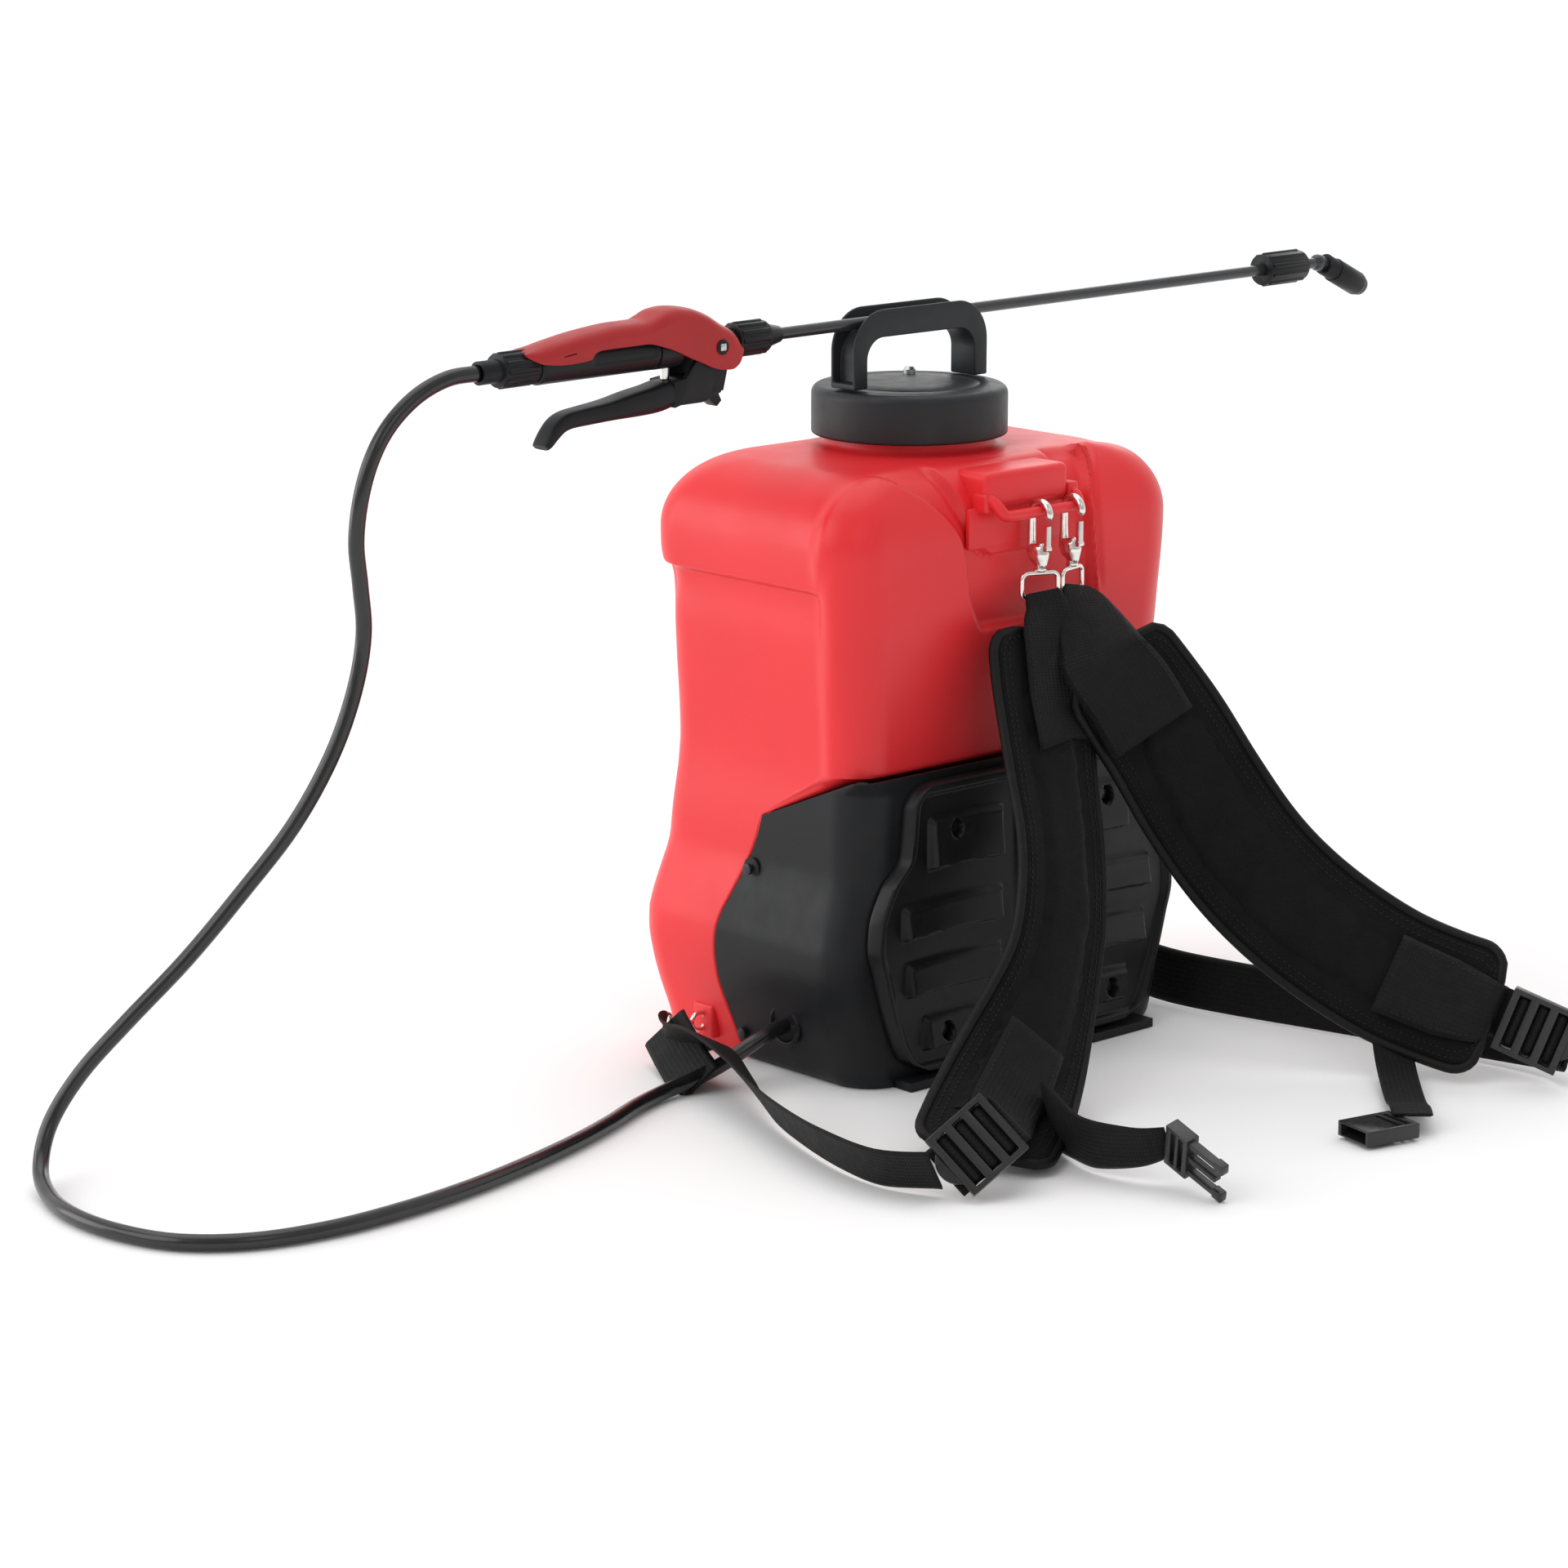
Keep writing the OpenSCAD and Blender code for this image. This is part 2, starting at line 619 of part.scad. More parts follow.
module nozzle_tip() {
  color(black) on_tip() difference() {
    union() {
      along_x(4, 16, 8);
      along_x(15.9, 44, 9);
      translate([43.9, 0, 0]) rotate([0, 90, 0]) cylinder(r1 = 9, r2 = 7, h = 6);
    }
    along_x(3, 44, 4.9);
    along_x(40, 60, 1);
  }
}
module swirl_core() {
  color("#d6a541") on_tip() difference() {
    along_x(13, 42, 4.5);
    along_x(12, 30, 1.5);
    for (s = [-1, 1]) box([30, s * 4 - 0.8, -6], [43, s * 4 + 0.8, 6]);
  }
}

// ---------- harness ----------
// Stations down each shoulder pad: centre, then the direction of its width
pad_a_stations = [[[-4, -129, 299], [1, 0, -0.1]], [[-11, -143, 259], [1, 0, -0.1]],
  [[-23, -163, 210], [0.98, 0.09, -0.15]], [[-36, -185, 167], [0.96, 0.11, -0.25]],
  [[-52, -202, 128], [0.95, 0.07, -0.32]], [[-74, -215, 90], [0.93, 0, -0.37]],
  [[-104, -229, 60], [0.9, -0.2, -0.4]], [[-142, -247, 36], [0.86, -0.4, -0.3]],
  [[-178, -266, 22], [0.8, -0.55, -0.2]], [[-208, -284, 14], [0.76, -0.62, -0.1]]];
pad_b_stations = [[[33, -163, 282], [0.76, -0.1, 0.64]], [[64, -183, 229], [0.72, -0.3, 0.62]],
  [[87, -198, 184], [0.65, -0.38, 0.66]], [[103, -220, 146], [0.6, -0.32, 0.73]],
  [[118, -244, 117], [0.6, -0.32, 0.73]], [[136, -273, 91], [0.58, -0.3, 0.75]],
  [[157, -307, 68], [0.55, -0.26, 0.79]], [[176, -341, 54], [0.51, -0.21, 0.83]],
  [[190, -370, 47], [0.48, -0.17, 0.86]]];
module pad_a() { color(black) band(pad_a_stations, pad_w, pad_t, 4); }
module pad_b() { color(black) band(pad_b_stations, pad_w, pad_t, 4); }

hooks = [[6, -20], [37, 15]];
hanger_w = 26;
module top_web_a() {
  color(black) band(smooth_band(smooth_band([[[5, -125, 327], [0.94, -0.34, 0]],
    [[1, -125, 316], [1, -0.2, 0]], [[-3, -127, 304.5], [1, 0, -0.1]]])),
    hanger_w, web_t, 0.5);
}
module top_web_b() {
  color(black) band(smooth_band(smooth_band([[[37, -125, 327], [0.96, 0.26, 0]],
    [[37, -140, 307], [0.9, -0.1, 0.3]], [[31, -160, 288.5], [0.76, -0.1, 0.64]]])),
    hanger_w, web_t, 0.5);
}
lower_a_stations = [[[-200, 33, 19], [0.3, -0.25, 0.9]], [[-207, 6, 27], [-0.6, 0.3, 0.7]],
  [[-216, -34, 36], [-0.8, 0.2, 0.45]], [[-232, -80, 30], [-0.7, 0.1, 0.6]],
  [[-250, -125, 21], [-0.55, 0.1, 0.8]], [[-267, -172, 19], [-0.5, 0.1, 0.8]],
  [[-280, -222, 18], [-0.5, 0, 0.8]], [[-282, -268, 17], [-0.5, -0.3, 0.8]],
  [[-268, -304, 20], [-0.4, -0.4, 0.75]]];
lower_b_stations = [[[166, -60, 21], [0.2, 0, 1]], [[172, -100, 20], [0.3, 0, 1]],
  [[184, -150, 19], [0.4, 0, 0.9]], [[198, -205, 19], [0.4, 0, 0.9]],
  [[212, -262, 19], [0.4, 0, 0.9]], [[222, -320, 20], [0.4, 0, 0.9]],
  [[221, -366, 27], [0.45, -0.1, 0.87]]];
module lower_web_a() { color(black) band(smooth_band(lower_a_stations), web_w, web_t, 0.5); }
module lower_web_b() { color(black) band(smooth_band(lower_b_stations), web_w, web_t, 0.5); }
function smooth_band(s) = let (c = smooth([for (q = s) q[0]], 2),
  w = smooth([for (q = s) q[1]], 2)) [for (i = [0:len(c) - 1]) [c[i], w[i]]];

// Ladder lock: a frame with three cross bars, drawn flat in XY
lock_w = 46;
lock_l = 46;
lock_t = 6;
lock_lip = 15;
module ladder_lock() {
  difference() {
    union() {
      cube([lock_w, lock_l, lock_t], center = true);
      translate([0, 8 - lock_l / 2, -lock_t / 2]) cylinder(r = lock_lip, h = 3);
    }
    for (y = [-14, 0, 14]) translate([0, y, 0]) cube([lock_w - 7, 8, 20], center = true);
  }
}
module ladder_lock_a() {
  color(grey) translate([-240, -313, 33]) rotate([0, 0, -44]) rotate([62, 0, 0])
    rotate([0, 0, -48]) ladder_lock();
}
module ladder_lock_b() {
  color(grey) translate([203, -398, 38]) rotate([0, 0, -62]) rotate([90, 0, 0])
    rotate([0, 0, 70]) ladder_lock();
}

chest_a_stations = [[[-153, -308, 23], [-0.35, -0.25, 0.9]],
  [[-160, -333, 22], [-0.35, -0.1, 0.9]],
  [[-152, -366, 25], [-0.33, -0.2, 0.9]], [[-139.5, -380, 29], [-0.3, -0.32, 0.9]]];
chest_b_stations = [[[152, -322, 9], [0.8, -0.5, 0.05]], [[141, -337, 8], [0.8, -0.5, 0.05]],
  [[116, -352, 10], [0.7, -0.7, 0.1]], [[88, -378, 8], [0.65, -0.75, 0]],
  [[74, -400, 7], [0.5, -0.85, 0]], [[62.5, -410, 7], [0.35, -0.93, 0]]];
module chest_web_a() { color(black) band(smooth_band(chest_a_stations), chest_w, web_t, 0.5); }
module chest_web_b() { color(black) band(smooth_band(chest_b_stations), chest_w, web_t, 0.5); }

// Side-release buckle, drawn flat with the webbing end at the origin and +X ahead
buckle_half = 16;
web_slot = 13;
module buckle_frame(l) {
  difference() {
    translate([0, -buckle_half, -5]) cube([l, 2 * buckle_half, 10]);
    for (x = [5, 12]) translate([x, -web_slot, -6]) cube([4, 2 * web_slot, 12]);
  }
}
module buckle_male() {
  // it hangs on its web, tipped forward with one side up
  color(black) multmatrix([[-0.02, -0.297, -0.955, -140], [-0.938, -0.325, 0.12, -383.5],
    [-0.346, 0.898, -0.273, 31], [0, 0, 0, 1]]) {
    buckle_frame(20);
    for (s = [-1, 1]) translate([20, s * 11.5 - 2, -3]) cube([28, 4, 6]);
    translate([20, -2, -3]) cube([24, 4, 6]);
    for (s = [-1, 1]) translate([42, s * 11.5 - 3.5, -3]) cube([8, 7, 6]);
  }
}
module buckle_female() {
  color(black) translate([54, -411, 7]) rotate([0, 0, 168]) difference() {
    buckle_frame(42);
    translate([20, -13, -3.6]) cube([30, 26, 7.2]);
  }
}

// Trigger snap hook: a hooked wire over the bar, a body, a swivel and a square wire eye.
// Each hook hangs at hooks[i][0] along the bar, with its eye turned by hooks[i][1]
wire_r = 2;
hook_r = 8;
hook_z = bar_z + bar_r + 0.2 - hook_r + wire_r;
hook_back = bar_y + hook_r;
hook_front = bar_y - 6.5;
eye_half = 15;
module wire_eye() {
  for (z = [320, 337]) rotate([0, 90, 0]) translate([-z, 0, -eye_half])
    cylinder(r = wire_r, h = 2 * eye_half);
  for (s = [-1, 1]) translate([s * (eye_half - 1.5), 0, 320]) cylinder(r = 1.8, h = 17);
}
module snap_hook(i) {
  translate([hooks[i][0], 0, 0]) {
    translate([0, bar_y, hook_z]) rotate([0, 0, 90]) rotate([90, 0, 0])
      rotate_extrude(angle = 218) translate([hook_r, 0]) circle(wire_r);
    box([-2.2, hook_back - 2.2, 350], [2.2, hook_back + 2.2, hook_z + 0.6]);
    box([-3.5, hook_front - 2.5, 345], [3.5, hook_back + wire_r, 351.6]);
    translate([0, bar_y, 337]) cylinder(r = 3.6, h = 9);
    translate([0, bar_y, 0]) rotate([0, 0, hooks[i][1]]) wire_eye();
  }
}
module upper_hook_a() { color(nickel) snap_hook(0); }
module upper_hook_b() { color(nickel) snap_hook(1); }
gate_z = 354;
gate_top = 369.4;
module hook_gate(i) {
  translate([hooks[i][0], hook_front, gate_z]) {
    rotate([0, 90, 0]) cylinder(r = 2, h = 5, center = true);
    translate([-2, -1.5, 0]) cube([4, 3, gate_top - gate_z]);
  }
}
module hook_gate_a() { color(nickel) hook_gate(0); }
module hook_gate_b() { color(nickel) hook_gate(1); }

// Lower hooks: hooked into eyes at the bottom of the tank's two sides
module lower_hook(s) {
  translate([s * 159.6, 40, 22]) {
    rotate([90, 0, 0]) rotate_extrude() translate([6, 0]) circle(1.6);
    translate([s * 6, 0, 0]) rotate([0, s * 90, 0]) cylinder(r = 2, h = 20);
    difference() {
      translate([s * 28, 0, -4]) cube([8, 6, 30], center = true);
      translate([s * 29, 0, -4]) cube([4, 8, 24], center = true);
    }
  }
}
module lower_hook_a() { color(nickel) lower_hook(-1); }
module lower_hook_b() { color(nickel) lower_hook(1); }
module lower_anchors() { color(red) for (s = [-1, 1]) box([s * 151.5 - 4.5, 30, 10],
  [s * 151.5 + 4.5, 50, 34]); }

tank_shell();
hanger_loop();
base_cover();
back_plate();
cover_screws();
plate_screws();
base_feet();
battery_pack();
pump_head();
pump_motor();
motor_rotor();
control_board();
tank_outlet();
suction_strainer();
suction_tube();
delivery_tube();
hose_outlet();
switch_housing();
switch_rocker();
charge_socket();
filter_basket();
cap_gasket();
cap_lid();
cap_handle();
vent_valve();
hose_tube();
gun_grip();
gun_shell();
lever_pin();
trigger_lever();
lever_lock();
valve_body();
valve_stem();
valve_spring();
hose_nut();
lance_nut();
lance_tube();
nozzle_nut();
nozzle_elbow();
nozzle_tip();
swirl_core();
pad_a();
pad_b();
top_web_a();
top_web_b();
lower_web_a();
lower_web_b();
ladder_lock_a();
ladder_lock_b();
chest_web_a();
chest_web_b();
buckle_male();
buckle_female();
upper_hook_a();
upper_hook_b();
hook_gate_a();
hook_gate_b();
lower_hook_a();
lower_hook_b();
lower_anchors();
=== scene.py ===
import json
import math
from contextlib import contextmanager

import bmesh
import bpy
import numpy as np
from mathutils import Matrix, Vector

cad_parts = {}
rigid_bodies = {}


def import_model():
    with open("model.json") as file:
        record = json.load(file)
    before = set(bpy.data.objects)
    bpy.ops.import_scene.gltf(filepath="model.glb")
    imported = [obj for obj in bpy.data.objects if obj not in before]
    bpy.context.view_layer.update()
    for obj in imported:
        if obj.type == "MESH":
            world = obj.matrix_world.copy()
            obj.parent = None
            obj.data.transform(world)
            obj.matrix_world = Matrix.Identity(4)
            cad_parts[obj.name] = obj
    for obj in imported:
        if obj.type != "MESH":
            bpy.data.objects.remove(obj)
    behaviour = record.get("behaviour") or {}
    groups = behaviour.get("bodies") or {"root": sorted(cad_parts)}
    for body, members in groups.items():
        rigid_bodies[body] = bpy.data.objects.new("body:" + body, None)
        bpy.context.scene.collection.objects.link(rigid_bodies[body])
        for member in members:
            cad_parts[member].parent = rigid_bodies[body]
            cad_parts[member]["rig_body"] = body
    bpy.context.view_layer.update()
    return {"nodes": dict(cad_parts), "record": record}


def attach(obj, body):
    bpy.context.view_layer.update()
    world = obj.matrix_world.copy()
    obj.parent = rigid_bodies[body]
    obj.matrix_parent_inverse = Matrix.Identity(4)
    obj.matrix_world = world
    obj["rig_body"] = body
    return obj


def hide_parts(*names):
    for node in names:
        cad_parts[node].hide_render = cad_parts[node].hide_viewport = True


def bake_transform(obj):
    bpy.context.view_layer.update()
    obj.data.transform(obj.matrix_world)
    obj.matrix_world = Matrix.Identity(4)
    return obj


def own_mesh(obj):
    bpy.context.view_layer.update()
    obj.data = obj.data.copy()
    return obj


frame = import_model()
scene = bpy.context.scene

# ---------- camera ----------
CAMERA_AT = (-2.15344, -2.22995, 0.893)
CAMERA_RIGHT = Vector((0.73832867, -0.67444108, 0.0))
CAMERA_UP = Vector((0.15292688, 0.16741314, 0.9739539))
CAMERA_AHEAD = Vector((0.65687452, 0.7190981, -0.2267461))
camera_data = bpy.data.cameras.new("camera")
camera_data.sensor_width = 36.0
camera_data.lens = 104.6
camera_data.clip_end = 50.0
camera = bpy.data.objects.new("camera", camera_data)
scene.collection.objects.link(camera)
columns = (CAMERA_RIGHT, CAMERA_UP, -CAMERA_AHEAD, Vector(CAMERA_AT))
camera.matrix_world = Matrix([[c[i] for c in columns] for i in range(3)] + [[0, 0, 0, 1]])
scene.camera = camera


# ---------- curves and tables ----------
def mm(values):
    return np.array(values, float) / 1000.0


def spline(points, per):
    """Catmull-Rom points through the given ones, as the CAD part smooths its paths."""
    p = [np.array(q, float) for q in points]
    out = []
    for i in range(len(p) - 1):
        a, b, c, d = p[max(i - 1, 0)], p[i], p[i + 1], p[min(i + 2, len(p) - 1)]
        for k in range(per):
            t = k / per
            out.append(0.5 * (2 * b + (c - a) * t + (2 * a - 5 * b + 4 * c - d) * t * t
                              + (3 * b - a - 3 * c + d) * t ** 3))
    out.append(p[-1])
    return np.array(out)


def curve_through(rows):
    """A smooth function through (x, y) rows that never overshoots them."""
    x, y = np.array(rows, float).T
    h = np.diff(x)
    d = np.diff(y) / h
    m = np.concatenate([[d[0]], np.zeros(len(x) - 2), [d[-1]]])
    for i in range(1, len(x) - 1):
        if d[i - 1] * d[i] > 0:
            m[i] = 2 * d[i - 1] * d[i] / (d[i - 1] + d[i])

    def value(q):
        q = np.clip(np.asarray(q, float), x[0], x[-1])
        i = np.clip(np.searchsorted(x, q, side="right") - 1, 0, len(x) - 2)
        t = (q - x[i]) / h[i]
        return (y[i] * (2 * t ** 3 - 3 * t ** 2 + 1) + m[i] * h[i] * (t ** 3 - 2 * t ** 2 + t)
                + y[i + 1] * (3 * t ** 2 - 2 * t ** 3) + m[i + 1] * h[i] * (t ** 3 - t ** 2))
    return value


def step(x, width):
    """0 below zero, 1 above width, and a soft step between."""
    t = np.clip(np.asarray(x, float) / width, 0, 1)
    return t * t * (3 - 2 * t)


def unit(v):
    return v / np.linalg.norm(v)


def runs_along(path):
    """How far along a path each of its points is."""
    return np.concatenate([[0], np.cumsum(np.linalg.norm(np.diff(path, axis=0), axis=1))])


def ring_angles(count):
    return np.linspace(0, 2 * math.pi, count, endpoint=False)


def placed(at, *turns):
    """A frame at a point in millimetres, turned by (degrees, axis) pairs in order."""
    matrix = Matrix.Translation(mm(at))
    for angle, axis in turns:
        matrix = matrix @ Matrix.Rotation(math.radians(angle), 4, axis)
    return matrix


# ---------- materials ----------
FINISHES = {}


def add_node(tree, kind, inputs, **settings):
    """A shader node, its inputs set to plain values or linked from other nodes' outputs."""
    node = tree.nodes.new("ShaderNode" + kind)
    for key, value in settings.items():
        setattr(node, key, value)
    for key, value in inputs.items():
        if isinstance(value, bpy.types.NodeSocket):
            tree.links.new(value, node.inputs[key])
        else:
            node.inputs[key].default_value = value
    return node


def add_noise(tree, coords, size, detail=3.0):
    return add_node(tree, "TexNoise", {"Vector": coords, "Scale": 1.0 / size,
                                       "Detail": detail}).outputs["Fac"]


def add_range(tree, value, low, high, a=0.3, b=0.7):
    return add_node(tree, "MapRange", {"Value": value, "From Min": a, "From Max": b,
                                       "To Min": low, "To Max": high}).outputs["Result"]


def add_wave(tree, coords, size, direction, distortion=0.0):
    """Ridges `size` metres apart along one axis of the coordinates."""
    inputs = {"Vector": coords, "Scale": 0.314 / size, "Distortion": distortion}
    return add_node(tree, "TexWave", inputs, bands_direction=direction).outputs["Fac"]


def add_product(tree, a, b):
    return add_node(tree, "Math", {0: a, 1: b}, operation="MULTIPLY").outputs[0]


def add_bump(tree, height, strength, distance, below=None):
    inputs = {"Height": height, "Strength": strength, "Distance": distance}
    if below is not None:
        inputs["Normal"] = below
    return add_node(tree, "Bump", inputs).outputs["Normal"]


def add_mix(tree, a, b, factor):
    inputs = {"A": a, "B": b, "Factor": factor}
    return add_node(tree, "Mix", inputs, data_type="RGBA").outputs["Result"]


def tinted(color, scale):
    return tuple(min(1.0, c * scale) for c in color) + (1.0,)


def new_material(name, inputs):
    """A material whose shader has these inputs; returns it, its nodes and its shader."""
    material = bpy.data.materials.new(name)
    material.use_nodes = True
    shader = material.node_tree.nodes["Principled BSDF"]
    for key, value in inputs.items():
        shader.inputs[key].default_value = value
    return material, material.node_tree, shader


def add_finish(name, color, rough, slot=None, metallic=0.0, mottle=0.08, mottle_size=0.05,
               rough_vary=0.05, grain=0.00012, grain_size=0.0012, wobble=0.0,
               wobble_size=0.04, weave=None, sheen=0.0, coat=0.0, specular=0.5):
    """A moulded, metal or woven surface: its colour and gloss vary over mottle_size, its
    grain is fine relief, its wobble is the slow unevenness of moulding. Its slot is its
    own name where none is given."""
    material, tree, shader = new_material(name, {
        "Metallic": metallic, "Specular IOR Level": specular, "Sheen Weight": sheen,
        "Coat Weight": coat, "Coat Roughness": 0.15})
    place = tree.nodes.new("ShaderNodeTexCoord")
    coords = place.outputs["Object"]
    spots = add_noise(tree, coords, mottle_size)
    base = add_mix(tree, tinted(color, 1 - mottle), tinted(color, 1 + mottle),
                   add_range(tree, spots, 0.0, 1.0))
    fine = add_noise(tree, coords, grain_size, 2.0)
    gloss = add_noise(tree, coords, mottle_size * 0.4)
    tree.links.new(add_range(tree, gloss, rough - rough_vary, rough + rough_vary),
                   shader.inputs["Roughness"])
    normal = add_bump(tree, fine, 0.5, grain)
    if wobble:
        normal = add_bump(tree, add_noise(tree, coords, wobble_size, 1.0), 0.6, wobble, normal)
    if weave:
        kind, size, depth = weave
        source = place.outputs["UV"] if kind == "webbing" else coords
        ribs = add_wave(tree, source, size, "X")
        if kind == "webbing":
            cross = add_wave(tree, source, size * 1.6, "Y", 1.5)
        else:
            cross = add_wave(tree, source, size, "Z")
        threads = add_product(tree, ribs, cross)
        normal = add_bump(tree, threads, 0.8, depth, normal)
        # the thread crests are painted lighter: a painted highlight on the weave, on top of its
        # bump
        base = add_mix(tree, base, tinted(color, 1.9), add_product(tree, threads, 0.5))
    tree.links.new(base, shader.inputs["Base Color"])
    tree.links.new(normal, shader.inputs["Normal"])
    FINISHES[name] = (material, slot or name)


def add_finishes():
    add_finish("red_plastic", (0.78, 0.026, 0.032), 0.38, mottle=0.04, mottle_size=0.09,
               wobble=0.0007, wobble_size=0.05, grain=0.00006, specular=0.36)
    add_finish("gun_red", (0.40, 0.018, 0.020), 0.42, "red_plastic", mottle=0.05,
               mottle_size=0.03, grain=0.00008, specular=0.3)
    add_finish("black_plastic", (0.010, 0.0105, 0.012), 0.40, mottle_size=0.04,
               grain=0.0001, grain_size=0.0009, wobble=0.0003, specular=0.22)
    add_finish("cap_plastic", (0.017, 0.019, 0.021), 0.44, "black_plastic",
               mottle_size=0.03, grain=0.00014, grain_size=0.0008, specular=0.3)
    add_finish("plate_foam", (0.009, 0.009, 0.010), 0.36, mottle=0.12, mottle_size=0.03,
               grain=0.0002, grain_size=0.0009, specular=0.26)
    add_finish("hose_rubber", (0.010, 0.010, 0.011), 0.24, mottle=0.2, mottle_size=0.02,
               grain=0.00005, wobble=0.0003, wobble_size=0.012, coat=0.15)
    add_finish("pad_fabric", (0.0042, 0.0042, 0.0047), 0.8, mottle=0.25, mottle_size=0.03,
               grain=0.0002, grain_size=0.0016, wobble=0.001, wobble_size=0.018,
               weave=("cloth", 0.0013, 0.00025), sheen=0.02, specular=0.16)
    add_finish("binding", (0.0035, 0.0035, 0.004), 0.6, "pad_fabric", mottle=0.2,
               mottle_size=0.01, grain=0.0003, grain_size=0.0012, specular=0.24)
    add_finish("thread", (0.010, 0.010, 0.011), 0.6, "pad_fabric", mottle=0.2,
               mottle_size=0.004, grain=0.0001, grain_size=0.0006, specular=0.3)
    add_finish("webbing", (0.0040, 0.0040, 0.0043), 0.66, mottle=0.15, mottle_size=0.02,
               grain=0.0001, grain_size=0.001, weave=("webbing", 0.0021, 0.0004),
               sheen=0.02, specular=0.2)
    add_finish("buckle_plastic", (0.014, 0.014, 0.0155), 0.3, mottle_size=0.01,
               grain=0.00008, grain_size=0.0007)
    add_finish("black_oxide", (0.035, 0.035, 0.037), 0.3, "screw_steel", metallic=0.6,
               mottle_size=0.003, grain=0.00003)
    add_finish("nickel", (0.80, 0.77, 0.73), 0.18, metallic=1.0, mottle=0.06,
               mottle_size=0.006, rough_vary=0.06, grain=0.00003, grain_size=0.0006)
    add_finish("screw_steel", (0.56, 0.56, 0.57), 0.3, metallic=1.0, mottle_size=0.003,
               grain=0.00003)
    add_finish("lance_tube", (0.026, 0.027, 0.030), 0.25, mottle_size=0.02,
               grain=0.00004, coat=0.1)
    add_finish("brass", (0.72, 0.46, 0.18), 0.26, metallic=1.0, mottle_size=0.004)
    add_finish("gasket_rubber", (0.012, 0.012, 0.012), 0.6)
    add_finish("battery_case", (0.03, 0.034, 0.04), 0.45)
    add_finish("motor_can", (0.42, 0.43, 0.45), 0.32, metallic=1.0, mottle_size=0.01)
    add_finish("copper_core", (0.45, 0.20, 0.09), 0.4, metallic=0.8, mottle_size=0.004)
    add_finish("board", (0.02, 0.12, 0.045), 0.4, mottle_size=0.006)
    add_finish("mesh_white", (0.72, 0.72, 0.70), 0.5, mottle_size=0.01)
    add_finish("vent_metal", (0.70, 0.71, 0.72), 0.25, metallic=1.0, mottle_size=0.003)
    # painted shade: a near-black finish for the shaded floors of holes and notches
    add_finish("painted_hole_shade", (0.004, 0.004, 0.0045), 0.7, "black_plastic", mottle_size=0.01)


# ---------- building pieces ----------
def finish_object(obj, finish, body, stands_for=(), sharp=None):
    material, slot = FINISHES[finish]
    obj.data.materials.clear()
    obj.data.materials.append(material)
    if obj.type == "MESH":
        for polygon in obj.data.polygons:
            polygon.use_smooth = True
        if sharp is not None:
            obj.data.set_sharp_from_angle(angle=math.radians(sharp))
    if body:
        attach(obj, body)
    if stands_for:
        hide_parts(*stands_for)
    return obj


def apply_modifiers(obj):
    bpy.context.view_layer.update()
    graph = bpy.context.evaluated_depsgraph_get()
    mesh = bpy.data.meshes.new_from_object(obj.evaluated_get(graph))
    obj.modifiers.clear()
    obj.data = mesh


@contextmanager
def edited(obj):
    """An object's mesh as a bmesh, written back afterwards."""
    bm = bmesh.new()
    bm.from_mesh(obj.data)
    yield bm
    bm.to_mesh(obj.data)
    bm.free()


def new_object(name, verts, faces, uv=None):
    mesh = bpy.data.meshes.new(name)
    mesh.from_pydata([tuple(map(float, v)) for v in verts], [], [tuple(f) for f in faces])
    if uv is not None:
        layer = mesh.uv_layers.new(name="along_across")
        corners = np.empty(len(mesh.loops), np.int64)
        mesh.loops.foreach_get("vertex_index", corners)
        layer.data.foreach_set("uv", np.array(uv, np.float32)[corners].ravel())
    obj = bpy.data.objects.new(name, mesh)
    scene.collection.objects.link(obj)
    return obj


def outward(obj):
    """Turns every face outward, on open shells too."""
    with edited(obj) as bm:
        bmesh.ops.recalc_face_normals(bm, faces=bm.faces)
        middle = sum((v.co for v in bm.verts), Vector()) / len(bm.verts)
        out = sum(f.calc_area() * f.normal.dot(f.calc_center_median() - middle)
                  for f in bm.faces)
        if out < 0:
            bmesh.ops.reverse_faces(bm, faces=bm.faces)
    return obj


def grid_faces(rows, cols, wrap=True, closed=False):
    """Quads of a grid of rows by cols points; wrap joins the last column to the first, and
    closed the last row to the first."""
    return [(i * cols + j, i * cols + (j + 1) % cols,
             (i + 1) % rows * cols + (j + 1) % cols, (i + 1) % rows * cols + j)
            for i in range(rows if closed else rows - 1)
            for j in range(cols if wrap else cols - 1)]


def capped_faces(rows, cols, end=True):
    """The faces of a loft, with a cap on its first ring and, unless told not to, its last."""
    faces = grid_faces(rows, cols) + [tuple(range(cols))[::-1]]
    if end:
        faces.append(tuple(range((rows - 1) * cols, rows * cols)))
    return faces


def loft_mesh(name, rings, end=True, uv=None):
    faces = capped_faces(len(rings), len(rings[0]), end)
    return outward(new_object(name, np.concatenate(rings), faces, uv))


def tangents_of(path):
    last = len(path) - 1
    return [unit(path[min(i + 1, last)] - path[max(i - 1, 0)]) for i in range(len(path))]


def circle_round(point, radius, side, normal, sides, flat=1.0):
    turn = ring_angles(sides)
    return point + radius * (np.outer(np.cos(turn), side)
                             + flat * np.outer(np.sin(turn), normal))


def frames_along(path, reference):
    """Unit tangent, side and normal at every point of a path, turning as little as may be."""
    tangents = tangents_of(path)
    side = np.cross(reference, tangents[0])
    if np.linalg.norm(side) < 1e-3:
        side = np.cross((0.3, 1.0, 0.2), tangents[0])
    frames = []
    for t in tangents:
        side = unit(side - t * np.dot(side, t))
        frames.append((t, side, np.cross(t, side)))
    return frames


def tube_mesh(name, path, radius, sides=14, reference=(0, 0, 1), flat=1.0):
    """A round or flattened bar along a path; radius may be one number or one for each point."""
    path = np.array(path, float)
    radii = np.broadcast_to(np.asarray(radius, float), (len(path),))
    rings = [circle_round(p, r, s, n, sides, flat)
             for p, r, (_, s, n) in zip(path, radii, frames_along(path, reference))]
    return loft_mesh(name, rings)


